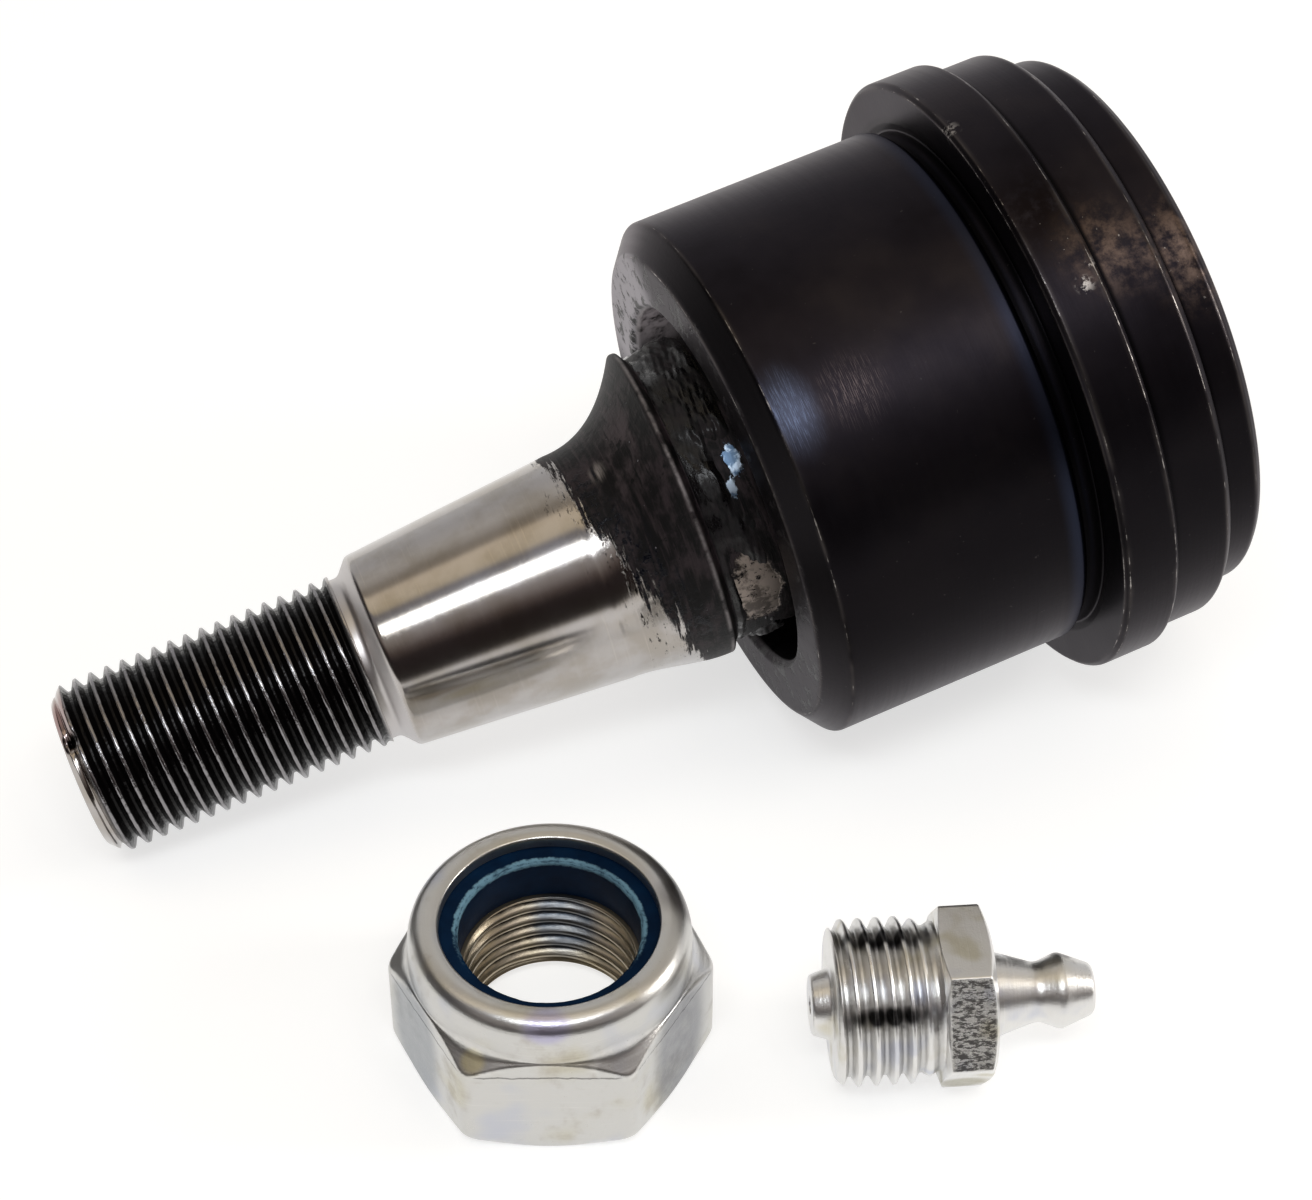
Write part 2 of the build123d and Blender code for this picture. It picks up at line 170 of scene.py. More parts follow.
def chain(columns, *corners):
    """Corners (radius, height, shift) as one array of corners by columns by 3. Each number may be
    an array over the columns, and a missing shift is zero."""
    filled = [tuple(corner) + (0.0,) * (3 - len(corner)) for corner in corners]
    spread = [[np.broadcast_to(value, (columns,)) for value in corner] for corner in filled]
    return np.array(spread, float).transpose(0, 2, 1)


def straight_run(start, end, spacing):
    """Points between two ends, without the ends, plus one near each end to hold the shading."""
    length = float(np.linalg.norm((end - start)[:, :2], axis=-1).max())
    steps = max(2, int(math.ceil(length / spacing)))
    guard = min(0.12, 0.4 / steps)
    shares = np.unique(np.concatenate([[guard], np.arange(1, steps) / steps, [1.0 - guard]]))
    return start + (end - start) * shares[:, None, None]


def soften(corners, softness, spacing, closed=False):
    """Rows along a chain of corners, with the distance along the chain of every row and corner.
    Round a corner runs a parabola from a to b, (1-t)^2 a + 2t(1-t) corner + t^2 b, where a and b
    lie softness away, at most 0.45 of the shorter side. A softness of zero leaves a plain row."""
    count = len(corners)
    softness = np.broadcast_to(softness, (count,))
    rows = []
    corner_rows = []
    ends = []
    for index in range(count):
        corner = corners[index]
        if softness[index] == 0.0 or (not closed and index in (0, count - 1)):
            curve = corner[None]
        else:
            before = corners[index - 1] - corner
            after = corners[(index + 1) % count] - corner
            length_before = np.linalg.norm(before[:, :2], axis=-1, keepdims=True) + 1e-9
            length_after = np.linalg.norm(after[:, :2], axis=-1, keepdims=True) + 1e-9
            reach = np.minimum(softness[index], 0.45 * np.minimum(length_before, length_after))
            a = corner + before / length_before * reach
            b = corner + after / length_after * reach
            curve = (1 - CURVE) ** 2 * a + 2 * CURVE * (1 - CURVE) * corner + CURVE ** 2 * b
        if ends:
            rows.append(straight_run(ends[-1], curve[0], spacing))
        corner_rows.append(sum(map(len, rows)) + len(curve) // 2)
        rows.append(curve)
        ends.append(curve[-1])
    if closed:
        rows.append(straight_run(ends[-1], rows[0][0], spacing))
    rows = np.concatenate(rows)
    steps = np.linalg.norm(np.diff(rows[:, :, :2], axis=0), axis=-1).mean(axis=1)
    along = np.concatenate([[0.0], np.cumsum(steps)])
    return rows, along, along[corner_rows]


def turned_rows(parts, columns, spacing):
    """Rows round a closed profile whose parts are each a radius, a height and a softness."""
    corners = chain(columns, *[part[:2] for part in parts])
    return soften(corners, [part[2] for part in parts], spacing, closed=True)


def near(along, places, width):
    """1 at each of the given distances along a profile, falling off as exp(-(d / width)^2)."""
    return np.exp(-(((along[:, None] - np.atleast_1d(places)) / width) ** 2)).max(axis=1)


# %% Grids into meshes
def grid_faces(rows, columns, closed):
    """Corner numbers of the quads of a grid whose columns close round the axis."""
    row = np.arange(rows if closed else rows - 1)[:, None]
    column = np.arange(columns)[None, :]
    next_row = (row + 1) % rows
    next_column = (column + 1) % columns
    quads = [
        row * columns + column,
        row * columns + next_column,
        next_row * columns + next_column,
        next_row * columns + column,
    ]
    return np.stack(np.broadcast_arrays(*quads), axis=-1).reshape(-1, 4)


def cap_faces(first, columns, pole, flip):
    """Triangles from one row of the grid to a single point on the axis."""
    here = first + np.arange(columns)
    there = first + (np.arange(columns) + 1) % columns
    pair = (there, here) if flip else (here, there)
    return np.stack([*pair, np.full(columns, pole)], axis=-1)


def outward_sign(points, faces):
    """Sign of the volume inside the quads, a sum of the products a . (b x c) of triangles."""
    a, b, c, d = (points[faces[:, k]] for k in range(4))
    middle = points.mean(axis=0)
    volume = ((a - middle) * np.cross(b - middle, c - middle)).sum()
    volume += ((a - middle) * np.cross(c - middle, d - middle)).sum()
    return 1 if volume > 0 else -1


def lathe_points(rows, angle):
    """Places of a grid's points in the spindle's own frame, in mm."""
    return np.stack(
        [rows[..., 0] * np.cos(angle), rows[..., 0] * np.sin(angle), rows[..., 1]], axis=-1
    )


def make_piece(name, spindle, rows, angle, closed=False, capped=False, marks=None):
    """A mesh object from rows of (radius, height, shift) in mm, set round a spindle. Each point
    keeps its place in the spindle's own frame, in mm, as the attribute "lathe", and marks are
    further named numbers, one for each row or each point."""
    count, columns, _ = rows.shape
    lathe = lathe_points(rows, angle)
    local = lathe.copy()
    local[..., 0] += rows[..., 2]
    local, lathe = local.reshape(-1, 3), lathe.reshape(-1, 3)
    quads = grid_faces(count, columns, closed)
    ends = [0, count - 1] if capped else []
    poles = len(local) + np.arange(len(ends))
    fans = [cap_faces(end * columns, columns, pole, end == 0) for pole, end in zip(poles, ends)]
    for end in ends:
        local = np.vstack([local, local[end * columns : (end + 1) * columns].mean(axis=0)])
        lathe = np.vstack([lathe, (0.0, 0.0, rows[end, 0, 1])])
    triangles = np.concatenate(fans) if fans else np.empty((0, 3), int)
    if outward_sign(local, quads) < 0:
        quads, triangles = quads[:, ::-1], triangles[:, ::-1]
    frame_axes = np.array([spindle.across, spindle.side, spindle.along])
    mesh = bpy.data.meshes.new(name)
    mesh.from_pydata(
        spindle.origin + local @ frame_axes * MM,
        [],
        quads.tolist() + triangles.tolist(),
    )
    mesh.shade_smooth()
    mesh.attributes.new("lathe", "FLOAT_VECTOR", "POINT").data.foreach_set("vector", lathe.ravel())
    for mark, values in (marks or {}).items():
        grid = np.asarray(values, float)
        grid = np.broadcast_to(grid[:, None] if grid.ndim == 1 else grid, (count, columns))
        full = np.concatenate([grid.ravel(), [grid[end].mean() for end in ends]])
        mesh.attributes.new(mark, "FLOAT", "POINT").data.foreach_set("value", full)
    print(name, len(mesh.polygons), "faces")
    return add_object(name, mesh)


def full_turn(columns):
    """Equal steps round the axis."""
    return np.arange(columns) / columns * TAU


# %% [markdown]
# ## Unevenness
#
# Handling leaves small dents, and grease lies in lumps. Both need a smooth random field that can
# be worked out at any point, gives the same result on every run and costs little. A sum of plane
# waves in random directions does that.

# %% A random field from plane waves
def waves(points, size, seed, count=24):
    """A smooth field, mostly between -1 and 1: a sum of sines of plane waves with random
    directions and phases, whose lengths lie near size, in the units of the points."""
    random = np.random.default_rng(seed)
    directions = random.normal(size=(count, points.shape[-1]))
    directions /= np.linalg.norm(directions, axis=1, keepdims=True)
    directions *= TAU / (size * random.uniform(0.6, 1.7, (count, 1)))
    phases = random.uniform(0, TAU, count)
    return np.sin(points @ directions.T + phases).sum(axis=-1) / math.sqrt(count)


def smooth_step(low, high, value):
    """0 below low, 1 above high, and 3t^2 - 2t^3 in between."""
    t = np.clip((value - low) / (high - low), 0.0, 1.0)
    return t * t * (3.0 - 2.0 * t)


# %% [markdown]
# ## Studio
#
# A plain pale floor and soft light. Polished metal shows nothing of its own but what surrounds it,
# so the room is given a structure: a narrow bright panel above the camera, darkness behind the
# camera, a warm ceiling further back and grey walls. Nearly all of it depends on one angle, how
# far a direction leans from straight up towards the camera, and a colour ramp turns that angle
# into light.

# %% The floor
FLOOR_HALF_SIZE = 1.2
FLOOR_GAP = 0.02 * MM

floor_mesh = bpy.data.meshes.new("floor")
corner_signs = np.array([(-1, -1), (1, -1), (1, 1), (-1, 1)], float)
floor_level = np.full(4, floor_height - FLOOR_GAP)
floor_corners = np.column_stack([corner_signs * FLOOR_HALF_SIZE, floor_level])
floor_mesh.from_pydata(floor_corners, [], [(0, 1, 2, 3)])
floor = add_object("floor", floor_mesh)
print("floor at", round(floor_height * 1000, 3), "mm")

# %% [markdown]
# ## Materials as expressions
#
# A finish is mostly arithmetic on a few signals: where a point lies along the axis, how far it is
# from an edge, and some noise. Node trees hide that arithmetic, so a small class wraps a node's
# socket and lets Python's operators build the nodes. Colours and places go through Mix and Vector
# Math, because they are three numbers at once. Any other node comes from one method.

# %% Sockets with operators
def arithmetic(operation):
    """Two methods that make a Math node: of this number and another, and the other way round."""

    def forwards(self, other):
        return self.maths(operation, self, other)

    def backwards(self, other):
        return self.maths(operation, other, self)

    return forwards, backwards


class Signal:
    """An output of a node tree that can be used in arithmetic."""

    def __init__(self, tree, socket):
        self.tree = tree
        self.socket = socket

    def node(self, kind, settings=None, output=0, values=(), **inputs):
        """Add a node of a kind, set its settings, then give its inputs values or links: in their
        order from values, or by name, with spaces written as underscores. Returns an output."""
        made = self.tree.nodes.new("ShaderNode" + kind)
        for name, value in (settings or {}).items():
            if name == "stops":
                set_stops(made.color_ramp, value)
            else:
                setattr(made, name, value)
        for socket, value in zip(made.inputs, values):
            feed(self.tree, socket, value)
        for name, value in inputs.items():
            feed(self.tree, find_input(made, name), value)
        return Signal(self.tree, made.outputs[output])

    def maths(self, operation, *values):
        """A Math node of up to three values."""
        return self.node("Math", {"operation": operation}, values=values)

    def vector_maths(self, operation, *values, output=0):
        """A Vector Math node. A single number stands for three equal ones."""
        triples = [(v,) * 3 if isinstance(v, (int, float)) else v for v in values]
        return self.node("VectorMath", {"operation": operation}, output, triples)

    __add__, __radd__ = arithmetic("ADD")
    __sub__, __rsub__ = arithmetic("SUBTRACT")
    __mul__, __rmul__ = arithmetic("MULTIPLY")
    __truediv__, __rtruediv__ = arithmetic("DIVIDE")

    def __pow__(self, other):
        return self.maths("POWER", self, other)

    def __neg__(self):
        return self.maths("MULTIPLY", self, -1.0)

    def clamped(self):
        return self.maths("MINIMUM", self.maths("MAXIMUM", self, 0.0), 1.0)

    def at_least(self, other):
        return self.maths("MAXIMUM", self, other)

    def away_from(self, value):
        """Distance of this number from a value."""
        return self.maths("ABSOLUTE", self - value)

    def step(self, low, high):
        """Smooth step from 0 at low to 1 at high. It falls instead when low is above high."""
        return self.node(
            "MapRange",
            {"interpolation_type": "SMOOTHSTEP"},
            Value=self,
            From_Min=low,
            From_Max=high,
        )

    def stretch(self, x, y, z):
        """A place with its three parts multiplied by x, y and z."""
        return self.vector_maths("MULTIPLY", self, (x, y, z))

    def noise(self, size, detail=3.0, roughness=0.55, seed=0.0):
        """Noise between 0 and 1 at this place, with patches of about the given size."""
        place = self.vector_maths("ADD", self, (seed * 17.3, seed * 9.1, seed * 5.7))
        return self.node(
            "TexNoise",
            {"noise_dimensions": "3D"},
            Vector=place,
            Scale=1.0 / size,
            Detail=detail,
            Roughness=roughness,
        )

    def parts(self):
        """The three parts of a place."""
        made = self.tree.nodes.new("ShaderNodeSeparateXYZ")
        feed(self.tree, made.inputs[0], self)
        return [Signal(self.tree, socket) for socket in made.outputs]

    def blob(self, centre, size):
        """1 at a centre in the piece's own frame, falling smoothly to 0 at a distance of size."""
        distance = self.vector_maths("DISTANCE", self, centre, output=1)
        return distance.step(size, 0.0)


def set_stops(ramp, stops):
    """Give a colour ramp its stops, pairs of a position from 0 to 1 and a colour."""
    while len(ramp.elements) < len(stops):
        ramp.elements.new(1.0)
    for element, (position, colour) in zip(ramp.elements, stops):
        element.position = position
        element.color = colour


def find_input(made, name):
    """The input with the given name that is in use, with underscores for spaces."""
    plain = name.replace("_", " ")
    return next(s for s in made.inputs if s.name == plain and s.enabled)


def feed(tree, socket, value):
    """Link a signal to a socket, or set the socket's own value. A colour may be a hex string."""
    if isinstance(value, Signal):
        tree.links.new(value.socket, socket)
    elif isinstance(value, str):
        socket.default_value = hex_colour(value)
    else:
        socket.default_value = value


def hex_colour(text):
    """Scene-linear colour of a hex string: c / 12.92 below 0.04045, and above that
    ((c + 0.055) / 1.055)^2.4."""
    parts = np.array([int(text[k : k + 2], 16) for k in (1, 3, 5)]) / 255.0
    linear = np.where(parts < 0.04045, parts / 12.92, ((parts + 0.055) / 1.055) ** 2.4)
    return (*linear.tolist(), 1.0)


# %% Starting and finishing a material
class Finish:
    """A material whose surface is one Principled shader."""

    def __init__(self, name, coat=0.0, coat_roughness=0.2):
        self.material = bpy.data.materials.new(name)
        self.material.use_nodes = True
        self.tree = self.material.node_tree
        self.shader = self.tree.nodes["Principled BSDF"]
        self.constant("Coat Weight", coat)
        self.constant("Coat Roughness", coat_roughness)
        self.start = Signal(self.tree, self.shader.outputs[0])

    def constant(self, name, value):
        """Set one of the shader's own sockets."""
        self.shader.inputs[name].default_value = value

    def lathe(self):
        """Place in the piece's own frame in mm, its z along the axis."""
        return self.start.node("Attribute", {"attribute_name": "lathe"}, output="Vector")

    def mark(self, name):
        """A number that the piece carries for each point."""
        return self.start.node("Attribute", {"attribute_name": name}, output="Fac")

    def place(self):
        """Place on the object in mm."""
        coordinates = self.start.node("TexCoord", output="Object")
        return coordinates.stretch(1.0 / MM, 1.0 / MM, 1.0 / MM)

    def layers(self, base, *layers):
        """A colour built up from a base and pairs of a colour and how much of it lies on top."""
        colour = base
        for top, amount in layers:
            colour = mix_colours(self.start, colour, top, amount)
        return colour

    def surface(self, colour, roughness, metallic=1.0, bump=None, depth=0.01 * MM):
        """Feed the shader. bump is a height in units of depth."""
        feed(self.tree, self.shader.inputs["Base Color"], colour)
        feed(self.tree, self.shader.inputs["Roughness"], roughness)
        feed(self.tree, self.shader.inputs["Metallic"], metallic)
        if bump is not None:
            relief = self.start.node("Bump", Height=bump, Distance=depth, Strength=1.0)
            feed(self.tree, self.shader.inputs["Normal"], relief)
        return self.material


def mix_colours(signal, under, over, amount):
    """Colour under with over on top, by an amount from 0 to 1."""
    made = signal.tree.nodes.new("ShaderNodeMix")
    made.data_type = "RGBA"
    feed(signal.tree, made.inputs[0], amount)
    feed(signal.tree, made.inputs[6], under)
    feed(signal.tree, made.inputs[7], over)
    return Signal(signal.tree, made.outputs[2])


# %% [markdown]
# ## Light
#
# The world is the room: one colour ramp over the angle between a direction and straight up,
# counted towards the camera, with a dark wall on the left. The camera itself sees a plain pale
# backdrop in its place, so the floor has no dark horizon. Three area lights complete the room: a
# narrow panel draws the bright streak along every polished cylinder, a small soft one stands
# beside it, and a large one on the right lights the floor and the faces that look that way.

# %% The room
world = bpy.data.worlds.new("studio")
bpy.context.scene.world = world
world.use_nodes = True
background = world.node_tree.nodes["Background"]
sky = Signal(world.node_tree, background.outputs[0])

ROOM = (
    (-180.0, (0.80, 0.78, 0.74)),
    (-92.0, (0.76, 0.76, 0.76)),
    (-64.0, (0.60, 0.59, 0.59)),
    (-38.0, (0.66, 0.63, 0.59)),
    (-28.0, (0.52, 0.48, 0.43)),
    (-22.0, (0.38, 0.34, 0.29)),
    (-15.0, (0.38, 0.33, 0.27)),
    (-10.0, (0.95, 0.82, 0.64)),
    (9.0, (0.85, 0.74, 0.56)),
    (14.0, (0.27, 0.27, 0.31)),
    (46.0, (0.36, 0.32, 0.30)),
    (56.0, (0.12, 0.09, 0.08)),
    (64.0, (0.03, 0.022, 0.022)),
    (88.0, (0.03, 0.024, 0.022)),
    (93.0, (0.75, 0.70, 0.62)),
    (180.0, (0.80, 0.78, 0.74)),
)
room_stops = [((lean + 180.0) / 360.0, (*colour, 1.0)) for lean, colour in ROOM]

direction = sky.node("TexCoord", output="Generated")
_, _, up_part = direction.parts()
towards_camera = (-forward.x, -forward.y, 0.0)
near_part = sky.vector_maths("DOT_PRODUCT", direction, towards_camera, output=1)
lean_share = sky.maths("ARCTAN2", near_part, up_part) / TAU + 0.5
room_light = lean_share.node("ValToRGB", {"stops": room_stops}, Fac=lean_share)
to_the_right = (forward.y, -forward.x, 0.0)
aside_part = sky.vector_maths("DOT_PRODUCT", direction, to_the_right, output=1)
left_wall = aside_part.step(-0.62, -0.88)
room_light = mix_colours(sky, room_light, "#2a2626", left_wall)
seen_directly = sky.node("LightPath", output="Is Camera Ray")
seen_light = mix_colours(sky, room_light, "#f2f1ef", seen_directly)
feed(world.node_tree, background.inputs["Color"], seen_light)
background.inputs["Strength"].default_value = 1.0
print("room ramp with", len(room_stops), "stops")


# %% The panels
def panel(name, lean, aside, distance, size, power, colour=(1.0, 1.0, 1.0)):
    """An area light that faces the object from a direction. lean is the angle from straight up
    towards the camera, and aside the angle to the right of that plane, both in degrees."""
    lean, aside = math.radians(lean), math.radians(aside)
    right = forward.cross(Vector((0, 0, 1)))
    away = (-forward * math.sin(lean) + Vector((0, 0, 1)) * math.cos(lean)) * math.cos(aside)
    away += right * math.sin(aside)
    data = bpy.data.lights.new(name, "AREA")
    data.shape = "RECTANGLE"
    data.size, data.size_y = size
    data.energy = power
    data.color = colour
    lamp = add_object(name, data)
    lamp.matrix_world = Matrix.Translation(away * distance) @ (
        Matrix((right, -away.cross(right), away)).transposed().to_4x4()
    )
    return lamp


panel("streak_panel", 31.5, -4.0, 0.60, (0.34, 0.105), 1.1, (0.93, 0.97, 1.0))
panel("soft_panel", 22.0, 19.0, 0.60, (0.12, 0.20), 0.20, (1.0, 0.97, 0.95))
panel("right_panel", 0.0, 70.0, 0.90, (0.45, 0.60), 3.0, (1.0, 0.98, 0.95))
print("three panels")

# %% [markdown]
# ## Floor finish
#
# The floor is plain and pale. A very faint mottling keeps it from being a dead flat colour, and it
# glows softly, which makes it nearly white without a lamp that would wash out the steel.

# %% Floor material
FLOOR_GLOW = 0.66
floor_finish = Finish("pale_floor")
floor_cloud = floor_finish.place().noise(40.0, 2.0)
floor_finish.constant("Emission Color", (1.0, 1.0, 1.0, 1.0))
floor_finish.constant("Emission Strength", FLOOR_GLOW)
floor.data.materials.append(
    floor_finish.surface(
        floor_finish.layers("#b9b9b8", ("#bfbfbd", floor_cloud)),
        roughness=0.9,
        metallic=0.0,
    )
)
print("floor material ready")

# %% [markdown]
# ## Turned housing
#
# The housing is one turned profile: a plain land that is pressed into its eye, an undercut, the
# flange with a second, smaller step behind it, and a rim rolled over the cover. Stations are
# measured from the flange's seating face, as a turner would, and the ball's centre lies a known
# distance in front of it.

# %% Housing profile
BALL_STATION = 11.3
PRESS_RADIUS = 24.6
OPENING_RADIUS = 17.0
BORE_RADIUS = 20.5
FLANGE_RADIUS = 28.44  # 0.01 mm inside the CAD flange, whose box is that of coarser facets
BAND_RADIUS = 27.3
RIM_RADIUS = 25.35
COVER_SEAT_RADIUS = 23.35
FRONT, SHOULDER, FLANGE_BACK, BAND_BACK, RIM_BACK = 26.5, 0.0, -5.3, -11.3, -15.5
COVER_BACK, COVER_FRONT, BORE_FRONT = -14.0, -10.6, 20.5

MOUTH_CHAMFER, NOSE_DEPTH, NOSE_LENGTH = 0.6, 2.5, 2.0
UNDERCUT_DEPTH, UNDERCUT_WIDTH, UNDERCUT_SINK, SEAT_START = 0.7, 1.5, -0.3, 0.15
FLANGE_EDGE, BAND_EDGE, RIM_EDGE, LIP_OVERLAP = 0.4, 0.7, 0.9, 2.4

housing_columns = 360
housing_turn = full_turn(housing_columns)
housing_profile = [
    (OPENING_RADIUS, BORE_FRONT, 0.1),
    (OPENING_RADIUS, FRONT - MOUTH_CHAMFER, 0.2),
    (OPENING_RADIUS + MOUTH_CHAMFER, FRONT, 0.2),
    (PRESS_RADIUS - NOSE_DEPTH, FRONT, 0.35),
    (PRESS_RADIUS, FRONT - NOSE_LENGTH, 0.3),
    (PRESS_RADIUS, 2.0, 0.15),
    (PRESS_RADIUS - 0.5, UNDERCUT_WIDTH, 0.15),
    (PRESS_RADIUS - UNDERCUT_DEPTH, UNDERCUT_WIDTH, 0.1),
    (PRESS_RADIUS - UNDERCUT_DEPTH, UNDERCUT_SINK, 0.3),
    (PRESS_RADIUS + SEAT_START, SHOULDER, 0.1),
    (FLANGE_RADIUS - FLANGE_EDGE, SHOULDER, 0.15),
    (FLANGE_RADIUS, -FLANGE_EDGE, 0.15),
    (FLANGE_RADIUS, FLANGE_BACK + FLANGE_EDGE, 0.15),
    (FLANGE_RADIUS - FLANGE_EDGE, FLANGE_BACK, 0.15),
    (BAND_RADIUS, FLANGE_BACK, 0.15),
    (BAND_RADIUS, BAND_BACK + BAND_EDGE, 0.3),
    (BAND_RADIUS - BAND_EDGE, BAND_BACK, 0.3),
    (RIM_RADIUS, BAND_BACK, 0.2),
    (RIM_RADIUS, RIM_BACK + RIM_EDGE, 0.4),
    (RIM_RADIUS - RIM_EDGE, RIM_BACK, 0.4),
    (COVER_SEAT_RADIUS - LIP_OVERLAP, RIM_BACK, 0.3),
    (COVER_SEAT_RADIUS - LIP_OVERLAP, COVER_BACK, 0.1),
    (COVER_SEAT_RADIUS, COVER_BACK, 0.05),
    (COVER_SEAT_RADIUS, COVER_FRONT, 0.05),
    (BORE_RADIUS, COVER_FRONT, 0.05),
    (BORE_RADIUS, BORE_FRONT, 0.05),
]
from_ball = [(radius, station - BALL_STATION, soft) for radius, station, soft in housing_profile]
housing_rows, housing_along, corner_along = turned_rows(from_ball, housing_columns, 0.8)
WORN_CORNERS = [3, 4, 10, 11, 12, 15, 18, 19]
# corners of the profile that get painted shade in their nooks
SHADED_CORNERS = [6, 7, 8, 9, 14, 17]
housing = make_piece(
    "housing_shell",
    housing_spindle,
    housing_rows,
    housing_turn,
    closed=True,
    marks={
        "edge": near(housing_along, corner_along[WORN_CORNERS], 0.16),
        "nook": near(housing_along, corner_along[SHADED_CORNERS], 0.7),
    },
)
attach(housing, "housing")
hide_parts("housing")

# %% [markdown]
# ## Threads
#
# A thread is a groove whose depth depends on one number, the phase: height in pitches minus the
# turn round the axis. The groove is a flat-bottomed V, and the same function serves the stud, the
# fitting and, with its sign turned, the nut's bore.


# %% The groove of a thread
def groove(height, angle, pitch, crest=0.08, root=0.10):
    """Depth of a thread's groove, 0 on the crest and 1 at the root: the distance from the crest
    in pitches, |((h / pitch - angle / 2 pi + 0.5) mod 1) - 0.5|, stretched between two flats."""
    phase = np.abs((height / pitch - angle / TAU + 0.5) % 1.0 - 0.5)
    return np.clip((phase - crest) / (0.5 - crest - root), 0.0, 1.0)


# %% [markdown]
# ## Eccentric stud
#
# The ball, its journal and the collar are turned round the ball's axis. The taper and the thread
# are turned round a second axis beside it, which is how such a stud sets the wheel's camber. Here
# one grid covers both: every row has its own sideways shift, which grows through the flare from
# nothing at the collar to the full eccentricity at the taper.

# %% Stud profile
BALL_RADIUS = 17.0
BALL_FLAT = 13.0
JOURNAL_RADIUS = 13.6
COLLAR_RADIUS = 14.5
COLLAR_HEIGHT = 19.3
TAPER_START, TAPER_END = 28.2, 48.0
TAPER_LARGE, TAPER_SMALL = 10.75, 9.1
NECK_RADIUS, THREAD_START = 7.6, 50.1
STUD_THREAD_RADIUS, STUD_END, STUD_CHAMFER = 8.0, 76.9, 1.3
STUD_PITCH, STUD_THREAD_DEPTH = 1.5, 0.88
shift_full = eccentricity / MM

stud_columns = 300
stud_turn = full_turn(stud_columns)
flat_polar = math.acos(-BALL_FLAT / BALL_RADIUS)
ball_polar = np.linspace(flat_polar, math.asin(JOURNAL_RADIUS / BALL_RADIUS), 40)
ball_arc = [(BALL_RADIUS * math.sin(p), BALL_RADIUS * math.cos(p)) for p in ball_polar]
flare_share = np.linspace(1.0, 0.0, 24)[1:]
flare = [
    (
        TAPER_LARGE + (COLLAR_RADIUS - TAPER_LARGE) * share ** 2,
        COLLAR_HEIGHT + (TAPER_START - COLLAR_HEIGHT) * (1.0 - share),
        shift_full * (1.0 - share ** 3),
    )
    for share in flare_share
]
stud_parts = [
    ([(0.8, -BALL_FLAT)], 0.0),
    (ball_arc, 0.0),
    ([(JOURNAL_RADIUS, COLLAR_HEIGHT - 1.0)], 0.1),
    ([(COLLAR_RADIUS, COLLAR_HEIGHT - 0.5)], 0.15),
    ([(COLLAR_RADIUS, COLLAR_HEIGHT)], 0.15),
    (flare, 0.0),
    ([(TAPER_SMALL, TAPER_END, shift_full)], 0.35),
    ([(NECK_RADIUS, TAPER_END + 1.3, shift_full)], 0.8),
    ([(NECK_RADIUS, THREAD_START, shift_full)], 0.1),
    ([(STUD_THREAD_RADIUS, THREAD_START, shift_full)], 0.1),
    ([(STUD_THREAD_RADIUS, STUD_END - STUD_CHAMFER, shift_full)], 0.1),
    ([(STUD_THREAD_RADIUS - STUD_CHAMFER, STUD_END, shift_full)], 0.25),
    ([(0.8, STUD_END, shift_full)], 0.0),
]
stud_corners = chain(stud_columns, *[corner for part, _ in stud_parts for corner in part])
stud_softness = np.concatenate([[soft] * len(part) for part, soft in stud_parts])
stud_rows, _, _ = soften(stud_corners, stud_softness, 0.8)
print("stud profile of", len(stud_rows), "rows")


# %% Stud with its thread
def refine(rows, low, high, spacing):
    """Rows of a round surface with those between two heights replaced by evenly spaced ones."""
    heights = rows[:, 0, 1]
    first, last = np.flatnonzero((heights > low) & (heights < high))[[0, -1]]
    old = rows[first : last + 1, 0]
    even = np.linspace(heights[first], heights[last], int((high - low) / spacing))
    fresh = np.stack([np.interp(even, old[:, 1], old[:, k]) for k in range(3)], axis=-1)
    fresh = np.repeat(fresh[:, None], rows.shape[1], axis=1)
    return np.concatenate([rows[:first], fresh, rows[last + 1 :]])


NICK_ANGLE, NICK_HEIGHT, NICK_SIZE, NICK_DEPTH = math.radians(112.0), 75.9, 0.75, 0.7
threaded = refine(stud_rows, THREAD_START + 0.05, STUD_END - 0.3, 0.085)
heights = threaded[..., 1]
full_depth = smooth_step(THREAD_START - 0.2, THREAD_START + 1.2, heights)
stud_groove = groove(heights, stud_turn, STUD_PITCH) * full_depth
on_thread = (heights > THREAD_START) & (threaded[..., 0] > 6.0)
groove_radius = STUD_THREAD_RADIUS - STUD_THREAD_DEPTH * stud_groove
threaded[..., 0] = np.where(
    on_thread, np.minimum(threaded[..., 0], groove_radius), threaded[..., 0]
)
nick_reach = np.hypot((stud_turn - NICK_ANGLE) * STUD_THREAD_RADIUS, heights - NICK_HEIGHT)
nick = np.exp(-((nick_reach / NICK_SIZE) ** 2)) * (threaded[..., 0] > 5.0)
threaded[..., 0] -= NICK_DEPTH * nick
stud = make_piece(
    "stud_surface",
    stud_spindle,
    threaded,
    stud_turn,
    capped=True,
    marks={
        "depth": np.where(on_thread, stud_groove, 0.0),
        "edge": np.exp(-(((heights - COLLAR_HEIGHT + 0.25) / 0.16) ** 2)),
        "nick": nick,
    },
)
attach(stud, "stud")
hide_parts("ball_stud")

# %% [markdown]
# ## Hexagons
#
# Seen from its axis, a hexagon's radius is its half width over the cosine of the angle from the
# middle of the nearest flat. Columns are packed closer towards the corners, where the radius
# changes fastest, and the corners themselves are eased a little.


# %% Columns and radius of a hexagon
def hexagon_turn(per_side, corner_angle):
    """Angles round a hexagon, closer together near its corners: the middle of each side plus 30
    degrees times sin(pi t / 2), with t running evenly from -1 to 1."""
    t = np.arange(per_side) / per_side * 2.0 - 1.0
    across = np.radians(30.0) * np.sin(math.pi * t / 2.0)
    middles = np.radians(corner_angle + 30.0 + 60.0 * np.arange(6))
    return (middles[:, None] + across[None, :]).ravel()


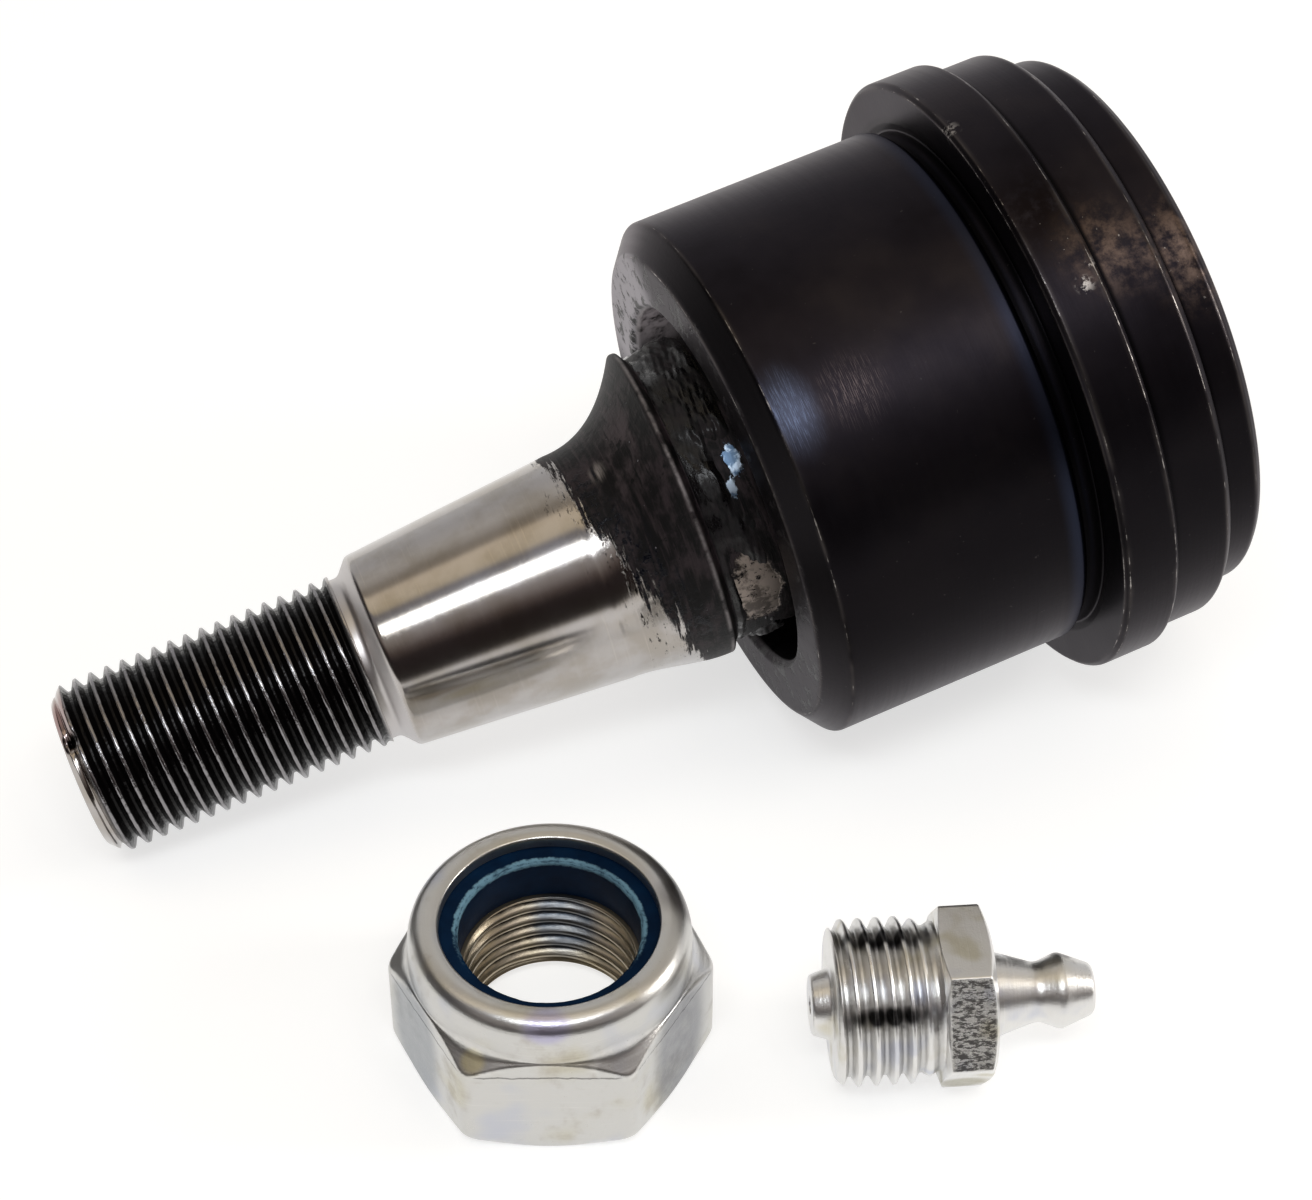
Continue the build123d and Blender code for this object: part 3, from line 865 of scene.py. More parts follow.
def hexagon_radius(angle, flats, corner_angle, easing=0.5):
    """Half the width across flats over cos(angle from the flat's middle), less easing squared
    times the share of the way into the last bit before a corner."""
    sector = (angle - math.radians(corner_angle)) % (math.pi / 3.0) - math.pi / 6.0
    radius = flats / 2.0 / np.cos(sector)
    from_corner = flats / 2.0 * (math.tan(math.pi / 6.0) - np.abs(np.tan(sector)))
    return radius - 0.25 * easing * np.clip(1.0 - from_corner / easing, 0.0, 1.0) ** 2


# %% [markdown]
# ## Lock nut
#
# The nut's outline changes round the hexagon. At each angle the flat ends where the turned cone
# of the top corners meets it, so the well-known arcs appear by themselves. Above the hexagon the
# crown is rounded over in a quarter of an ellipse and rolled inwards over the nylon ring.

# %% Nut profile
NUT_FLATS, NUT_HEIGHT, HEX_HEIGHT, CORNER_DROP = 24.0, 15.0, 10.8, 1.9
CROWN_RADIUS, LIP_RADIUS, LIP_BOTTOM = 11.85, 9.2, 13.6
POCKET_RADIUS, INSERT_BOTTOM = 10.4, 9.5
NUT_BORE, NUT_BORE_CHAMFER, NUT_BASE = 7.19, 1.2, 11.7
NUT_BASE_RISE = 1.2
NUT_PITCH, NUT_THREAD_DEPTH = 1.5, 0.80

ROUND_ACROSS, ROUND_UP, LIP_FALL = 1.8, 2.0, 0.2
crown_arc = [
    (
        CROWN_RADIUS - ROUND_ACROSS + ROUND_ACROSS * math.cos(angle),
        NUT_HEIGHT - ROUND_UP + ROUND_UP * math.sin(angle),
        0.5,
    )
    for angle in np.radians((0.0, 30.0, 60.0, 90.0))
]
nut_turn = hexagon_turn(60, 0.0)
nut_radius = hexagon_radius(nut_turn, NUT_FLATS, 0.0, 1.0)
corner_radius = NUT_FLATS / math.sqrt(3.0)
base_rise = NUT_BASE_RISE * (nut_radius - NUT_BASE) / (corner_radius - NUT_BASE)
flat_top = HEX_HEIGHT - CORNER_DROP * (nut_radius - CROWN_RADIUS) / (corner_radius - CROWN_RADIUS)
nut_parts = [
    (NUT_BORE + NUT_BORE_CHAMFER, 0.0, 0.3),
    (NUT_BASE, 0.0, 0.2),
    (nut_radius, base_rise, 0.35),
    (nut_radius, flat_top, 0.35),
    (CROWN_RADIUS, HEX_HEIGHT, 0.9),
    *crown_arc,
    (LIP_RADIUS, NUT_HEIGHT - LIP_FALL, 0.2),
    (LIP_RADIUS, LIP_BOTTOM, 0.2),
    (POCKET_RADIUS, LIP_BOTTOM, 0.05),
    (POCKET_RADIUS, INSERT_BOTTOM, 0.05),
    (NUT_BORE, INSERT_BOTTOM, 0.1),
    (NUT_BORE, NUT_BORE_CHAMFER, 0.2),
]
nut_rows, nut_along, nut_corner_along = turned_rows(nut_parts, len(nut_turn), 0.22)
heights = nut_rows[..., 1]
in_bore = (nut_rows[..., 0] < NUT_BORE + 0.02) & (heights < INSERT_BOTTOM)
bore_fade = smooth_step(NUT_BORE_CHAMFER - 0.4, NUT_BORE_CHAMFER + 0.4, heights)
bore_groove = groove(heights, nut_turn, NUT_PITCH) * bore_fade
nut_rows[..., 0] += np.where(in_bore, bore_groove * NUT_THREAD_DEPTH, 0.0)
nut = make_piece(
    "nut_surface",
    nut_spindle,
    nut_rows,
    nut_turn,
    closed=True,
    marks={
        "edge": near(nut_along, nut_corner_along[[2, 3, 4]], 0.3),
        "depth": np.where(in_bore, bore_groove, 0.0),
    },
)
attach(nut, "nut")
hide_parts("lock_nut")

# %% [markdown]
# ## Nylon ring
#
# The ring sits in the crown's pocket. Its inner edge has been touched by a thread gauge or simply
# by the punch that pressed it in, and stands a little ragged.

# %% Ring surface
INSERT_BORE, INSERT_EDGE, RAGGED_HEIGHT = 7.6, 0.25, 0.05
ring_turn = full_turn(300)
ring_parts = [
    (INSERT_BORE, INSERT_BOTTOM, 0.1),
    (POCKET_RADIUS, INSERT_BOTTOM, 0.02),
    (POCKET_RADIUS, LIP_BOTTOM, 0.02),
    (INSERT_BORE + INSERT_EDGE, LIP_BOTTOM, 0.1),
    (INSERT_BORE, LIP_BOTTOM - INSERT_EDGE, 0.1),
]
ring_rows, ring_along, ring_corner_along = turned_rows(ring_parts, len(ring_turn), 0.3)
ragged = waves(lathe_points(ring_rows, ring_turn), 1.1, seed=5)
rim_share = near(ring_along, ring_corner_along[[3, 4]], 0.3)[:, None]
ring_rows[..., 0] += RAGGED_HEIGHT * np.clip(ragged, 0.0, 1.5) * rim_share
ring = make_piece(
    "nylon_ring",
    nut_spindle,
    ring_rows,
    ring_turn,
    closed=True,
    marks={"edge": near(ring_along, ring_corner_along[[3, 4]], 0.45)},
)
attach(ring, "nut")
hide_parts("nylon_insert")

# %% [markdown]
# ## Grease fitting
#
# One grid again: nose, thread, hexagon, cone, ball-shaped head, and the passage back through the
# middle. The hexagon's corners are columns, so the round parts simply have the same radius in all
# of them.

# %% Fitting profile
FITTING_FLATS, FITTING_HEX, FITTING_DROP = 14.0, 4.4, 0.7
FITTING_THREAD, FITTING_THREAD_LENGTH = 7.0, 8.9
FITTING_ROOT, FITTING_PITCH = 6.12, 1.5
FITTING_START, FITTING_END = -10.6, 13.2
FITTING_EDGE, FITTING_CONE = 6.3, 3.75
NOSE_RIM, NOSE_FOOT = 2.5, 3.1
THREAD_LEAD, THREAD_LEAD_HEIGHT = 6.2, -8.1
WAIST_RADIUS, WAIST_HEIGHT = 2.45, 8.4
HEAD_RADIUS, HEAD_HEIGHT, HEAD_TIP = 3.25, 10.3, 2.1
PASSAGE, ORIFICE, ORIFICE_START = 0.8, 0.9, 12.7
CHAMBER, CHAMBER_START, CHAMBER_END = 1.45, 6.7, 12.15
CORNER_UP = 30.0

fitting_turn = hexagon_turn(56, CORNER_UP)
fitting_hex = hexagon_radius(fitting_turn, FITTING_FLATS, CORNER_UP, 0.3)
fitting_corner = FITTING_FLATS / math.sqrt(3.0)
seat_rise = 0.35 * (fitting_hex - FITTING_THREAD) / (fitting_corner - FITTING_THREAD)
edge_width = fitting_corner - FITTING_EDGE
hex_top = FITTING_HEX - FITTING_DROP * (fitting_hex - FITTING_EDGE) / edge_width
fitting_parts = [
    (PASSAGE, FITTING_START, 0.1),
    (NOSE_RIM, FITTING_START, 0.25),
    (NOSE_FOOT, -FITTING_THREAD_LENGTH, 0.3),
    (THREAD_LEAD, -FITTING_THREAD_LENGTH, 0.25),
    (FITTING_THREAD, THREAD_LEAD_HEIGHT, 0.2),
    (FITTING_THREAD, -0.02, 0.1),
    (fitting_hex, seat_rise, 0.15),
    (fitting_hex, hex_top, 0.2),
    (FITTING_EDGE, FITTING_HEX, 0.15),
    (FITTING_CONE, FITTING_HEX, 0.25),
    (WAIST_RADIUS, WAIST_HEIGHT, 0.5),
    (HEAD_RADIUS, HEAD_HEIGHT, 0.4),
    (HEAD_TIP, FITTING_END, 0.5),
    (ORIFICE, FITTING_END, 0.1),
    (ORIFICE, ORIFICE_START, 0.05),
    (CHAMBER, CHAMBER_END, 0.05),
    (CHAMBER, CHAMBER_START, 0.05),
    (PASSAGE, CHAMBER_START, 0.05),
]
fitting_rows, fitting_along, fitting_corner_along = turned_rows(
    fitting_parts, len(fitting_turn), 0.1
)
heights = fitting_rows[..., 1]
on_thread = (heights < 0.0) & (heights > -FITTING_THREAD_LENGTH) & (fitting_rows[..., 0] > 5.0)
run_out = smooth_step(-0.9, -2.6, heights)
crest_radius = FITTING_ROOT + (FITTING_THREAD - FITTING_ROOT) * (0.35 + 0.65 * run_out)
fitting_groove = groove(heights, fitting_turn, FITTING_PITCH)
threaded_radius = crest_radius - (crest_radius - FITTING_ROOT) * fitting_groove
fitting_rows[..., 0] = np.where(
    on_thread, np.minimum(fitting_rows[..., 0], threaded_radius), fitting_rows[..., 0]
)
fitting = make_piece(
    "fitting_surface",
    fitting_spindle,
    fitting_rows,
    fitting_turn,
    closed=True,
    marks={
        "edge": near(fitting_along, fitting_corner_along[[6, 7]], 0.2),
        "depth": np.where(on_thread, fitting_groove, 0.0),
    },
)
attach(fitting, "fitting")
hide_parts("fitting_body")

# %% [markdown]
# ## Springs that give
#
# Two springs are squeezed as their joints move, and each is its own mesh: a dished disc between
# the cover and the cup, and a tiny coil between the fitting and its ball. The disc is a turned ring.
# The coil is a round wire along a helix, cos and sin of the turn with a height that rises evenly,
# and its section is tipped to stay square to the wire.

# %% Disc and coil
DISC_INNER, DISC_OUTER = 12.2, 19.2
INNER_FRONT, INNER_BACK, OUTER_FRONT, OUTER_BACK = -17.53, -19.1, -20.3, -21.87
disc_parts = [
    (DISC_INNER, INNER_FRONT, 0.25),
    (DISC_INNER, INNER_BACK, 0.25),
    (DISC_OUTER, OUTER_BACK, 0.25),
    (DISC_OUTER, OUTER_FRONT, 0.25),
]
disc_rows, _, _ = turned_rows(disc_parts, 240, 0.5)
disc = make_piece("preload_disc", housing_spindle, disc_rows, full_turn(240), closed=True)
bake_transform(disc)
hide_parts("preload_spring")

COIL_RADIUS, WIRE_RADIUS = 1.0, 0.16
COIL_START, COIL_END, COIL_TURNS = 6.912, 10.836, 4
steepness = (COIL_END - COIL_START) / (COIL_TURNS * TAU * COIL_RADIUS)
slant = math.hypot(1.0, steepness)
along_wire = np.linspace(0.0, 1.0, 32 * COIL_TURNS + 1)[:, None]
round_wire = full_turn(16)[None, :]
coil_radii = COIL_RADIUS + WIRE_RADIUS * np.cos(round_wire)
coil_rise = COIL_START + (COIL_END - COIL_START) * along_wire
coil_heights = coil_rise + WIRE_RADIUS * np.sin(round_wire) / slant
coil_rows = np.stack(np.broadcast_arrays(coil_radii, coil_heights, 0.0), axis=-1)
coil_angle = TAU * COIL_TURNS * along_wire - math.pi / 2.0
coil_angle = coil_angle - steepness / slant * WIRE_RADIUS / COIL_RADIUS * np.sin(round_wire)
coil = make_piece("valve_coil", fitting_spindle, coil_rows, coil_angle, capped=True)
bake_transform(coil)
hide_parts("check_spring")

# %% [markdown]
# ## Grease on the journal
#
# Old grease gathers behind the collar in dark lumps. It is its own thin ring, thicker where a
# random field is high and sunk into the steel where it is low, so that it breaks up into patches,
# and wiped off in two windows. It stays thin, because the stud swings close to the housing's
# mouth.

# %% Grease ring
GREASE_LOW, GREASE_HIGH = 13.2, 18.25
GREASE_THICKNESS = 0.5
CLOSEST_HEIGHT, ROOM_BELOW = 17.2, 0.2

grease_turn = full_turn(480)
grease_share = np.linspace(0.0, 1.0, 60)
grease_heights = (GREASE_LOW + (GREASE_HIGH - GREASE_LOW) * grease_share)[:, None]
grease_rows = np.stack(
    np.broadcast_arrays(JOURNAL_RADIUS, grease_heights, 0.0 * grease_turn[None, :]), axis=-1
).astype(float)
grease_points = lathe_points(grease_rows, grease_turn)
combed_points = grease_points * (0.45, 0.45, 1.0)
lumps = 0.62 + 0.4 * waves(combed_points, 2.6, seed=3) + 0.10 * waves(combed_points, 0.8, seed=4)
wiped_angle = (grease_turn - math.radians(38.0) + math.pi) % TAU - math.pi
wiped = np.exp(-((wiped_angle / 0.42) ** 2)) * smooth_step(17.9, 16.6, grease_heights)
shiny_angle = grease_turn - math.radians(90.0)
shiny = np.exp(-((shiny_angle / 0.19) ** 2)) * smooth_step(16.2, 15.0, grease_heights)
fade_out = np.sin(math.pi * grease_share)[:, None] ** 0.4
thickness = GREASE_THICKNESS * (1.0 + ROOM_BELOW * np.maximum(CLOSEST_HEIGHT - grease_heights, 0.0))
cover = np.clip(lumps * fade_out - 1.3 * wiped - 1.3 * shiny, 0.0, 1.0)
grease_rows[..., 0] += cover * thickness - 0.05
inner_rows = grease_rows[[-1, 0]].copy()
inner_rows[..., 0] = JOURNAL_RADIUS - 0.12
grease = make_piece(
    "journal_grease",
    stud_spindle,
    np.concatenate([grease_rows, inner_rows]),
    grease_turn,
    closed=True,
)
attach(grease, "stud")

# %% [markdown]
# ## Black steel
#
# The housing is carbon steel with a thin dark oxide, oiled and handled. The oxide is made as a
# very dark metal with a weak, tinted edge reflection, because a black plastic would mirror the
# pale floor too brightly. It is darker where oil has stayed, and rubbed off in fine lines along
# the outer edges, where bare steel shows. Fine turning marks run round the axis. Painted shade
# makes it darker underneath and in its inner corners. The front face and the nose chamfer carry a
# painted highlight on their upper side and painted shade on the rest, and two bluish painted
# highlights lie near the front edge and beside the flange. The smeared wall of the mouth is
# painted light grey and glows faintly: painted light in the deep shade of the mouth.

# %% Housing material
black = Finish("black_steel")
black.constant("Specular IOR Level", 0.2)
black.constant("Specular Tint", (0.74, 0.72, 0.74, 1.0))
spot = black.lathe()
across_x, across_y, height = spot.parts()
radius = (across_x * across_x + across_y * across_y) ** 0.5
edge, nook = black.mark("edge"), black.mark("nook")
cloud = spot.noise(9.0, 3.0)
brush = spot.stretch(0.35, 0.35, 9.0).noise(3.0, 4.0, 0.6, seed=1.0)
speck = spot.noise(0.5, 2.0, 0.6, seed=2.0)
chips = spot.noise(2.4, 4.0, 0.7, seed=3.0)
smears = spot.noise(1.5, 5.0, 0.7, seed=4.0)
# painted shade: darker towards the underside of the housing
shaded_under_side = (across_x / radius).step(0.75, 0.20)
front_face = radius.step(22.5, 22.2) * height.step(9.0, 9.5)
# lit_side: the upper side of the front, where the chamfer and the front face get a painted highlight
lit_side = spot.blob((10.0, 18.0, 15.2), 19.0).step(0.15, 0.62)
chamfer = height.step(13.0, 13.4) * (1.0 - front_face)
mouth_wall = radius.step(17.4, 17.1) * front_face
# the mouth's wall: real smears, under painted light grey that stands for light in its deep shade
wall_smear_and_light = mouth_wall * spot.blob((9.0, 14.5, 13.5), 9.0)
face_dirt = (smears + (18.8 - radius).at_least(0.0) * 0.06).step(0.53, 0.63)
face_dirt = face_dirt * (1.0 - 0.7 * mouth_wall)
worn_line = (edge * (chips + 0.14)).step(0.62, 0.80)
dull_line = edge * spot.noise(6.0, 2.0, 0.5, seed=5.0).step(0.35, 0.65)
oily_patch = spot.blob((26.5, -10.3, -14.3), 7.0) * smears.step(0.30, 0.55)
rubbed_patch = spot.blob((20.3, -15.2, -25.3), 7.0) + 0.7 * spot.blob((23.3, -14.2, -18.0), 6.0)
rubbed_patch = rubbed_patch.clamped()
grit = spot.noise(0.7, 4.0, 0.7, seed=7.0)
nicks = (spot.blob((28.2, 1.2, -11.5), 1.5) + spot.blob((22.9, -16.9, -14.8), 1.1)).clamped()
nicks = (nicks + spot.blob((23.8, -15.6, -16.3), 0.9)).clamped() * grit.step(0.52, 0.58)
scratch_lines = spot.stretch(0.40, 0.40, 12.0).noise(0.7, 4.0, 0.7, seed=6.0).step(0.50, 0.66)
scratches = scratch_lines * spot.blob((19.6, -14.8, 6.0), 4.2)
sparkle = speck.step(0.72, 0.78) * (0.06 + oily_patch + rubbed_patch).clamped()
# painted highlight: a bluish patch by the front edge, broken up by the scratch lines
painted_blue_highlight = spot.stretch(0.8, 0.8, 1.4).blob((16.0, -11.8, 16.2), 4.2)
painted_blue_highlight = painted_blue_highlight * (0.35 + 0.9 * scratch_lines)
# painted highlight: a soft bluish band on the land beside the flange
painted_blue_sheen = height.away_from(-9.3).step(1.7, 0.3)
black_colour = black.layers(
    "#211e23",
    ("#2a2629", cloud.step(0.45, 0.75)),
    ("#19161a", cloud.step(0.50, 0.25)),
    ("#0f0d0f", shaded_under_side * 0.85),
    ("#151011", oily_patch),
    ("#8a7568", rubbed_patch * smears.step(0.35, 0.70) * 0.6),
    ("#2c3244", painted_blue_sheen * 0.5),
    ("#636d86", painted_blue_highlight.clamped() * 0.8),
    # painted shade on the whole nose chamfer, then a painted highlight on its lit side
    ("#191719", chamfer),
    ("#5a5558", chamfer * lit_side),
    # painted shade in the inner corners
    ("#0b0a0c", nook.step(0.25, 0.8)),
    # painted shade on the front face, then a painted highlight on its lit side
    ("#1c191b", front_face * (1.0 - lit_side)),
    ("#9c999d", front_face * lit_side),
    ("#151113", front_face * face_dirt),
    # painted light: the mouth's wall painted light grey between the smears
    ("#77706f", wall_smear_and_light * (1.0 - 0.7 * face_dirt)),
    ("#575250", dull_line * 0.5),
    ("#8f7f7c", scratches * 0.40),
    ("#aaa5a1", (worn_line + sparkle + nicks).clamped()),
)
# painted light: a faint glow on the mouth's wall
painted_glow_amount = wall_smear_and_light * (1.0 - face_dirt) * smears.step(0.35, 0.60)
painted_wall_light = black.layers("#000000", ("#6e686a", painted_glow_amount))
black_roughness = 0.27 + 0.10 * brush + 0.05 * cloud + 0.10 * smears * front_face
black_metallic = 0.88 * (1.0 - front_face * face_dirt) * (1.0 - 0.9 * wall_smear_and_light)
feed(black.tree, black.shader.inputs["Emission Color"], painted_wall_light)
black.constant("Emission Strength", 1.0)
black_material = black.surface(
    black_colour,
    black_roughness.clamped(),
    metallic=black_metallic.clamped(),
    bump=0.5 * brush + 0.25 * speck + 0.5 * chips * nicks - 1.2 * front_face * face_dirt,
    depth=0.02 * MM,
)
housing.data.materials.append(black_material)
print("black steel ready")

# %% [markdown]
# ## Ground and oiled stud steel
#
# One stud, four finishes that follow each other along its axis: dark grease and rust-inhibitor on
# the journal and the flare, a ground taper, a bright neck, and a thread whose grooves hold black
# oil while its crests shine. Height along the axis, disturbed by noise, decides which one shows.

# %% Stud material
steel = Finish("ground_steel")
steel.constant("Specular IOR Level", 0.18)
spot = steel.lathe()
across_x, across_y, height = spot.parts()
depth, edge, nick = steel.mark("depth"), steel.mark("edge"), steel.mark("nick")
cloud = spot.noise(4.0, 3.0)
ring_lines = spot.stretch(0.12, 0.12, 14.0).noise(2.0, 4.0, 0.7, seed=5.0)
combed = spot.stretch(0.22, 0.22, 2.6).noise(1.5, 5.0, 0.7, seed=6.0)
paint_end = 25.3 - 0.30 * across_x + 0.05 * across_y
paint_left = paint_end + (combed - 0.5) * 7.0 + (cloud - 0.5) * 3.0 - height
painted = paint_left.step(-0.25, 0.25)
boundary = paint_left.step(-1.0, 0.3) * paint_left.step(3.4, 0.8)
hairs = spot.stretch(0.5, 0.5, 1.6).noise(0.9, 5.0, 0.75, seed=7.0)
hairs = (hairs + 0.03 * paint_left).step(0.54, 0.60)
torn = spot.noise(1.7, 4.0, 0.7, seed=12.0)
pits = spot.noise(0.9, 4.0, 0.7, seed=13.0).step(0.57, 0.63)
beige_blob = spot.stretch(0.45, 0.45, 1.0).blob((4.5, 4.1, 15.6), 3.2)
on_collar_side = (beige_blob + torn * 0.9).step(0.66, 0.84) * beige_blob.step(0.0, 0.1)
# a bare spot on the journal whose colour is a painted bluish-white glint
glint_blob = spot.stretch(0.5, 0.5, 1.0).blob((-0.6, 6.8, 14.0), 1.15)
glint_blob = (glint_blob + 0.8 * spot.stretch(0.5, 0.5, 1.0).blob((0.6, 6.8, 15.0), 0.8)).clamped()
ragged = spot.stretch(0.7, 0.7, 1.0).noise(0.7, 4.0, 0.75, seed=14.0)
bare_spot_painted_glint = (glint_blob + 1.8 * (ragged - 0.5)).step(0.26, 0.42) * glint_blob.step(0.02, 0.15)
scuff = spot.stretch(0.8, 0.8, 1.2).blob((-5.8, 7.2, 29.9), 1.3) * combed.step(0.40, 0.60)
bare = (on_collar_side * (1.0 - pits) + bare_spot_painted_glint).clamped()
painted = painted * (1.0 - bare)
smudge = spot.stretch(0.7, 0.7, 1.0).noise(2.6, 4.0, 0.65, seed=16.0)
neck = height.step(TAPER_END - 0.2, TAPER_END + 0.3)
neck = neck * height.step(THREAD_START + 0.2, THREAD_START - 0.2)
end_face = height.step(STUD_END - 1.5, STUD_END - 1.1)
threaded_part = height.step(THREAD_START - 0.1, THREAD_START + 0.5) * (1.0 - end_face)
oil_clump = spot.noise(0.9, 3.0, 0.6, seed=8.0)
oily = (depth * 5.0 + (oil_clump - 0.5) * 1.1).step(0.0, 0.5) * threaded_part
wet = spot.noise(0.7, 4.0, 0.7, seed=9.0).step(0.48, 0.58) * boundary * across_y.step(6.0, 9.5)
collar_line = edge * spot.noise(2.6, 4.0, 0.7, seed=10.0).step(0.34, 0.60)
rosy = (spot.blob((-5.2, 4.6, 76.4), 5.0) * end_face).clamped()
stud_colour = steel.layers(
    "#b0acaa",
    ("#a19b94", cloud.step(0.35, 0.7)),
    ("#bfb8b0", ring_lines.step(0.55, 0.75) * 0.5),
    ("#1a1618", hairs * height.step(33.0, 27.0)),
    ("#0b090a", painted),
    ("#382f32", painted * smudge.step(0.48, 0.66) * 0.7),
    ("#332b2d", painted * combed.step(0.50, 0.66) * 0.8),
    ("#544a4c", painted * spot.blob((-7.0, 9.5, 22.0), 5.5) * smudge.step(0.40, 0.60) * 0.6),
    ("#030304", painted * combed.step(0.46, 0.34)),
    ("#030304", painted * torn.step(0.40, 0.32)),
    ("#8d8a90", painted * spot.noise(0.35, 2.0, 0.5, seed=15.0).step(0.76, 0.80)),
    ("#0a0c14", wet),
    ("#8d8580", scuff),
    ("#57504b", on_collar_side * bare),
    ("#978c84", on_collar_side * bare * torn.step(0.40, 0.56)),
    # painted glint on the bare spot
    ("#54687f", bare_spot_painted_glint),
    ("#b3c3d4", bare_spot_painted_glint * torn.step(0.42, 0.56)),
    ("#c0bcbb", neck),
    ("#8a888a", threaded_part),
    ("#0b090a", oily),
    ("#8a6460", rosy * 0.8),
    ("#0c0a0b", nick.step(0.35, 0.75)),
    ("#908a8a", collar_line * 0.75),
)
stud_metallic = (1.0 - painted * 0.90 - oily * 0.65 + collar_line * 0.6).clamped()
stud_roughness = (
    0.11
    + 0.07 * ring_lines
    + 0.40 * painted
    + 0.06 * threaded_part
    + 0.22 * neck
    + 0.3 * on_collar_side
    + 0.2 * bare_spot_painted_glint
    - 0.38 * wet
).clamped().at_least(0.06)
stud_bump = (
    0.05 * ring_lines * (1.0 - painted)
    + painted * (0.9 * combed + 0.6 * torn + 0.5 * spot.noise(0.5, 4.0, 0.7, seed=11.0))
    + 0.9 * wet * oil_clump
    + 1.5 * oily * oil_clump
)
stud_material = steel.surface(stud_colour, stud_roughness, stud_metallic, stud_bump, 0.08 * MM)
stud.data.materials.append(stud_material)
print("ground steel ready")

# %% [markdown]
# ## Grease
#
# The grease is nearly black and glossy, with a stringy surface that glints.

# %% Grease material
dark_grease = Finish("dark_grease", coat=0.15, coat_roughness=0.15)
dark_grease.constant("Specular IOR Level", 0.3)
spot = dark_grease.lathe()
strings = spot.stretch(0.45, 0.45, 1.3).noise(0.8, 5.0, 0.7)
film = spot.stretch(0.6, 0.6, 1.0).noise(2.2, 4.0, 0.6, seed=2.0)
grease.data.materials.append(
    dark_grease.surface(
        dark_grease.layers(
            "#0b090b",
            ("#211c1e", film.step(0.45, 0.65)),
            ("#030304", strings.step(0.48, 0.62)),
        ),
        (0.12 + 0.7 * film.step(0.40, 0.60)).clamped(),
        metallic=0.0,
        bump=strings,
        depth=0.14 * MM,
    )
)
print("grease ready")

# %% [markdown]
# ## Zinc plate
#
# Bright zinc over steel is a cool grey metal with a faint rainbow from its passivation: yellow and
# violet where the film is thicker. It is finely grained, with small dark marks from tumbling. The
# same finish goes on the nut and the fitting, with darker oil in the threads. What each has of
# its own is laid on top: patches at known places, a rough rolled face and a dark crease. On the
# nut the patches are painted shade on two side faces, on the crown's right side and deep in the
# bore, and a yellow and a violet tint. On the fitting they are painted dark reflections along the
# top of the thread, darker grey patches on the cone and the head, and a yellowish patch low on
# the hexagon.


# %% Zinc material
def zinc_plate(
    name, base, tint_size, grime, grain, patches, bore_tint=0.0, rough_face=None, crease=None
):
    """Zinc with a passivation tint in patches of a size and grime from 0 to 1 in its threads. Each
    extra patch is a place, a radius, a squeeze along the axis, a colour and a strength. A rough
    face is given by its direction and distance, and a crease by its height."""
    zinc = Finish(name)
    spot = zinc.lathe()
    across_x, across_y, height = spot.parts()
    radius = (across_x * across_x + across_y * across_y) ** 0.5
    depth, edge = zinc.mark("depth"), zinc.mark("edge")
    tint = spot.noise(tint_size, 2.0, 0.5)
    mottle = spot.noise(1.6, 5.0, 0.6, seed=1.0)
    fine = spot.noise(0.22, 3.0, 0.6, seed=2.0)
    lines = spot.stretch(0.2, 0.2, 8.0).noise(1.5, 4.0, 0.6, seed=3.0)
    pits = spot.noise(0.4, 3.0, 0.7, seed=4.0).step(0.70, 0.78)
    stain = (mottle * 0.6 + tint * 0.6).step(0.62, 0.80)
    cracks = 0.0
    if rough_face is not None:
        face_direction, face_distance = rough_face
        outwards = spot.vector_maths("DOT_PRODUCT", spot, face_direction, output=1)
        on_face = outwards.away_from(0.0).step(face_distance - 0.08, face_distance - 0.03)
        rolled = spot.stretch(1.0, 1.0, 0.4).noise(0.26, 5.0, 0.7, seed=5.0)
        cracked = 0.25 + 0.75 * rolled.step(0.58, 0.44)
        cracks += on_face * cracked * height.step(4.2, 3.8) * height.step(0.15, 0.45)
    if crease is not None:
        wander = (spot.noise(1.2, 3.0, 0.6, seed=6.0) - 0.5) * 0.5
        line = (height + wander).away_from(crease).step(0.10, 0.02)
        cracks += 0.55 * line * radius.step(13.5, 13.2) * radius.step(11.90, 11.98)
    patch_layers = []
    for place, size, squeeze, colour, strength in patches:
        patch = spot.stretch(1.0, 1.0, squeeze).blob(place, size).step(0.15, 0.70)
        patch_layers.append((colour, patch * (0.7 + 0.6 * mottle).clamped() * strength))
    colour = zinc.layers(
        base,
        ("#b9b18c", tint.step(0.54, 0.74) * 0.5),
        ("#b3b8ca", tint.step(0.46, 0.28) * 0.5),
        ("#a1978a", stain * 0.35 * grime),
        ("#e2e0dc", lines.step(0.55, 0.8) * 0.35),
        ("#4a443d", pits * 0.45),
        ("#a99b80", radius.step(8.3, 8.0) * bore_tint),
        ("#1d1917", (depth * (mottle + 0.40)).step(0.42, 0.80) * grime),
        *patch_layers,
        ("#231f1e", cracks * 0.85),
        ("#e9e7e3", edge * mottle.step(0.4, 0.6) * 0.4),
    )
    roughness = 0.19 + 0.08 * mottle + 0.07 * fine + 0.10 * stain + 0.07 * lines + 0.2 * cracks
    return zinc.surface(
        colour,
        roughness.clamped(),
        metallic=0.97,
        bump=0.4 * fine * grain + 0.45 * lines * grain - 0.5 * pits + 0.3 * mottle - 3.0 * cracks,
        depth=0.03 * MM,
    )


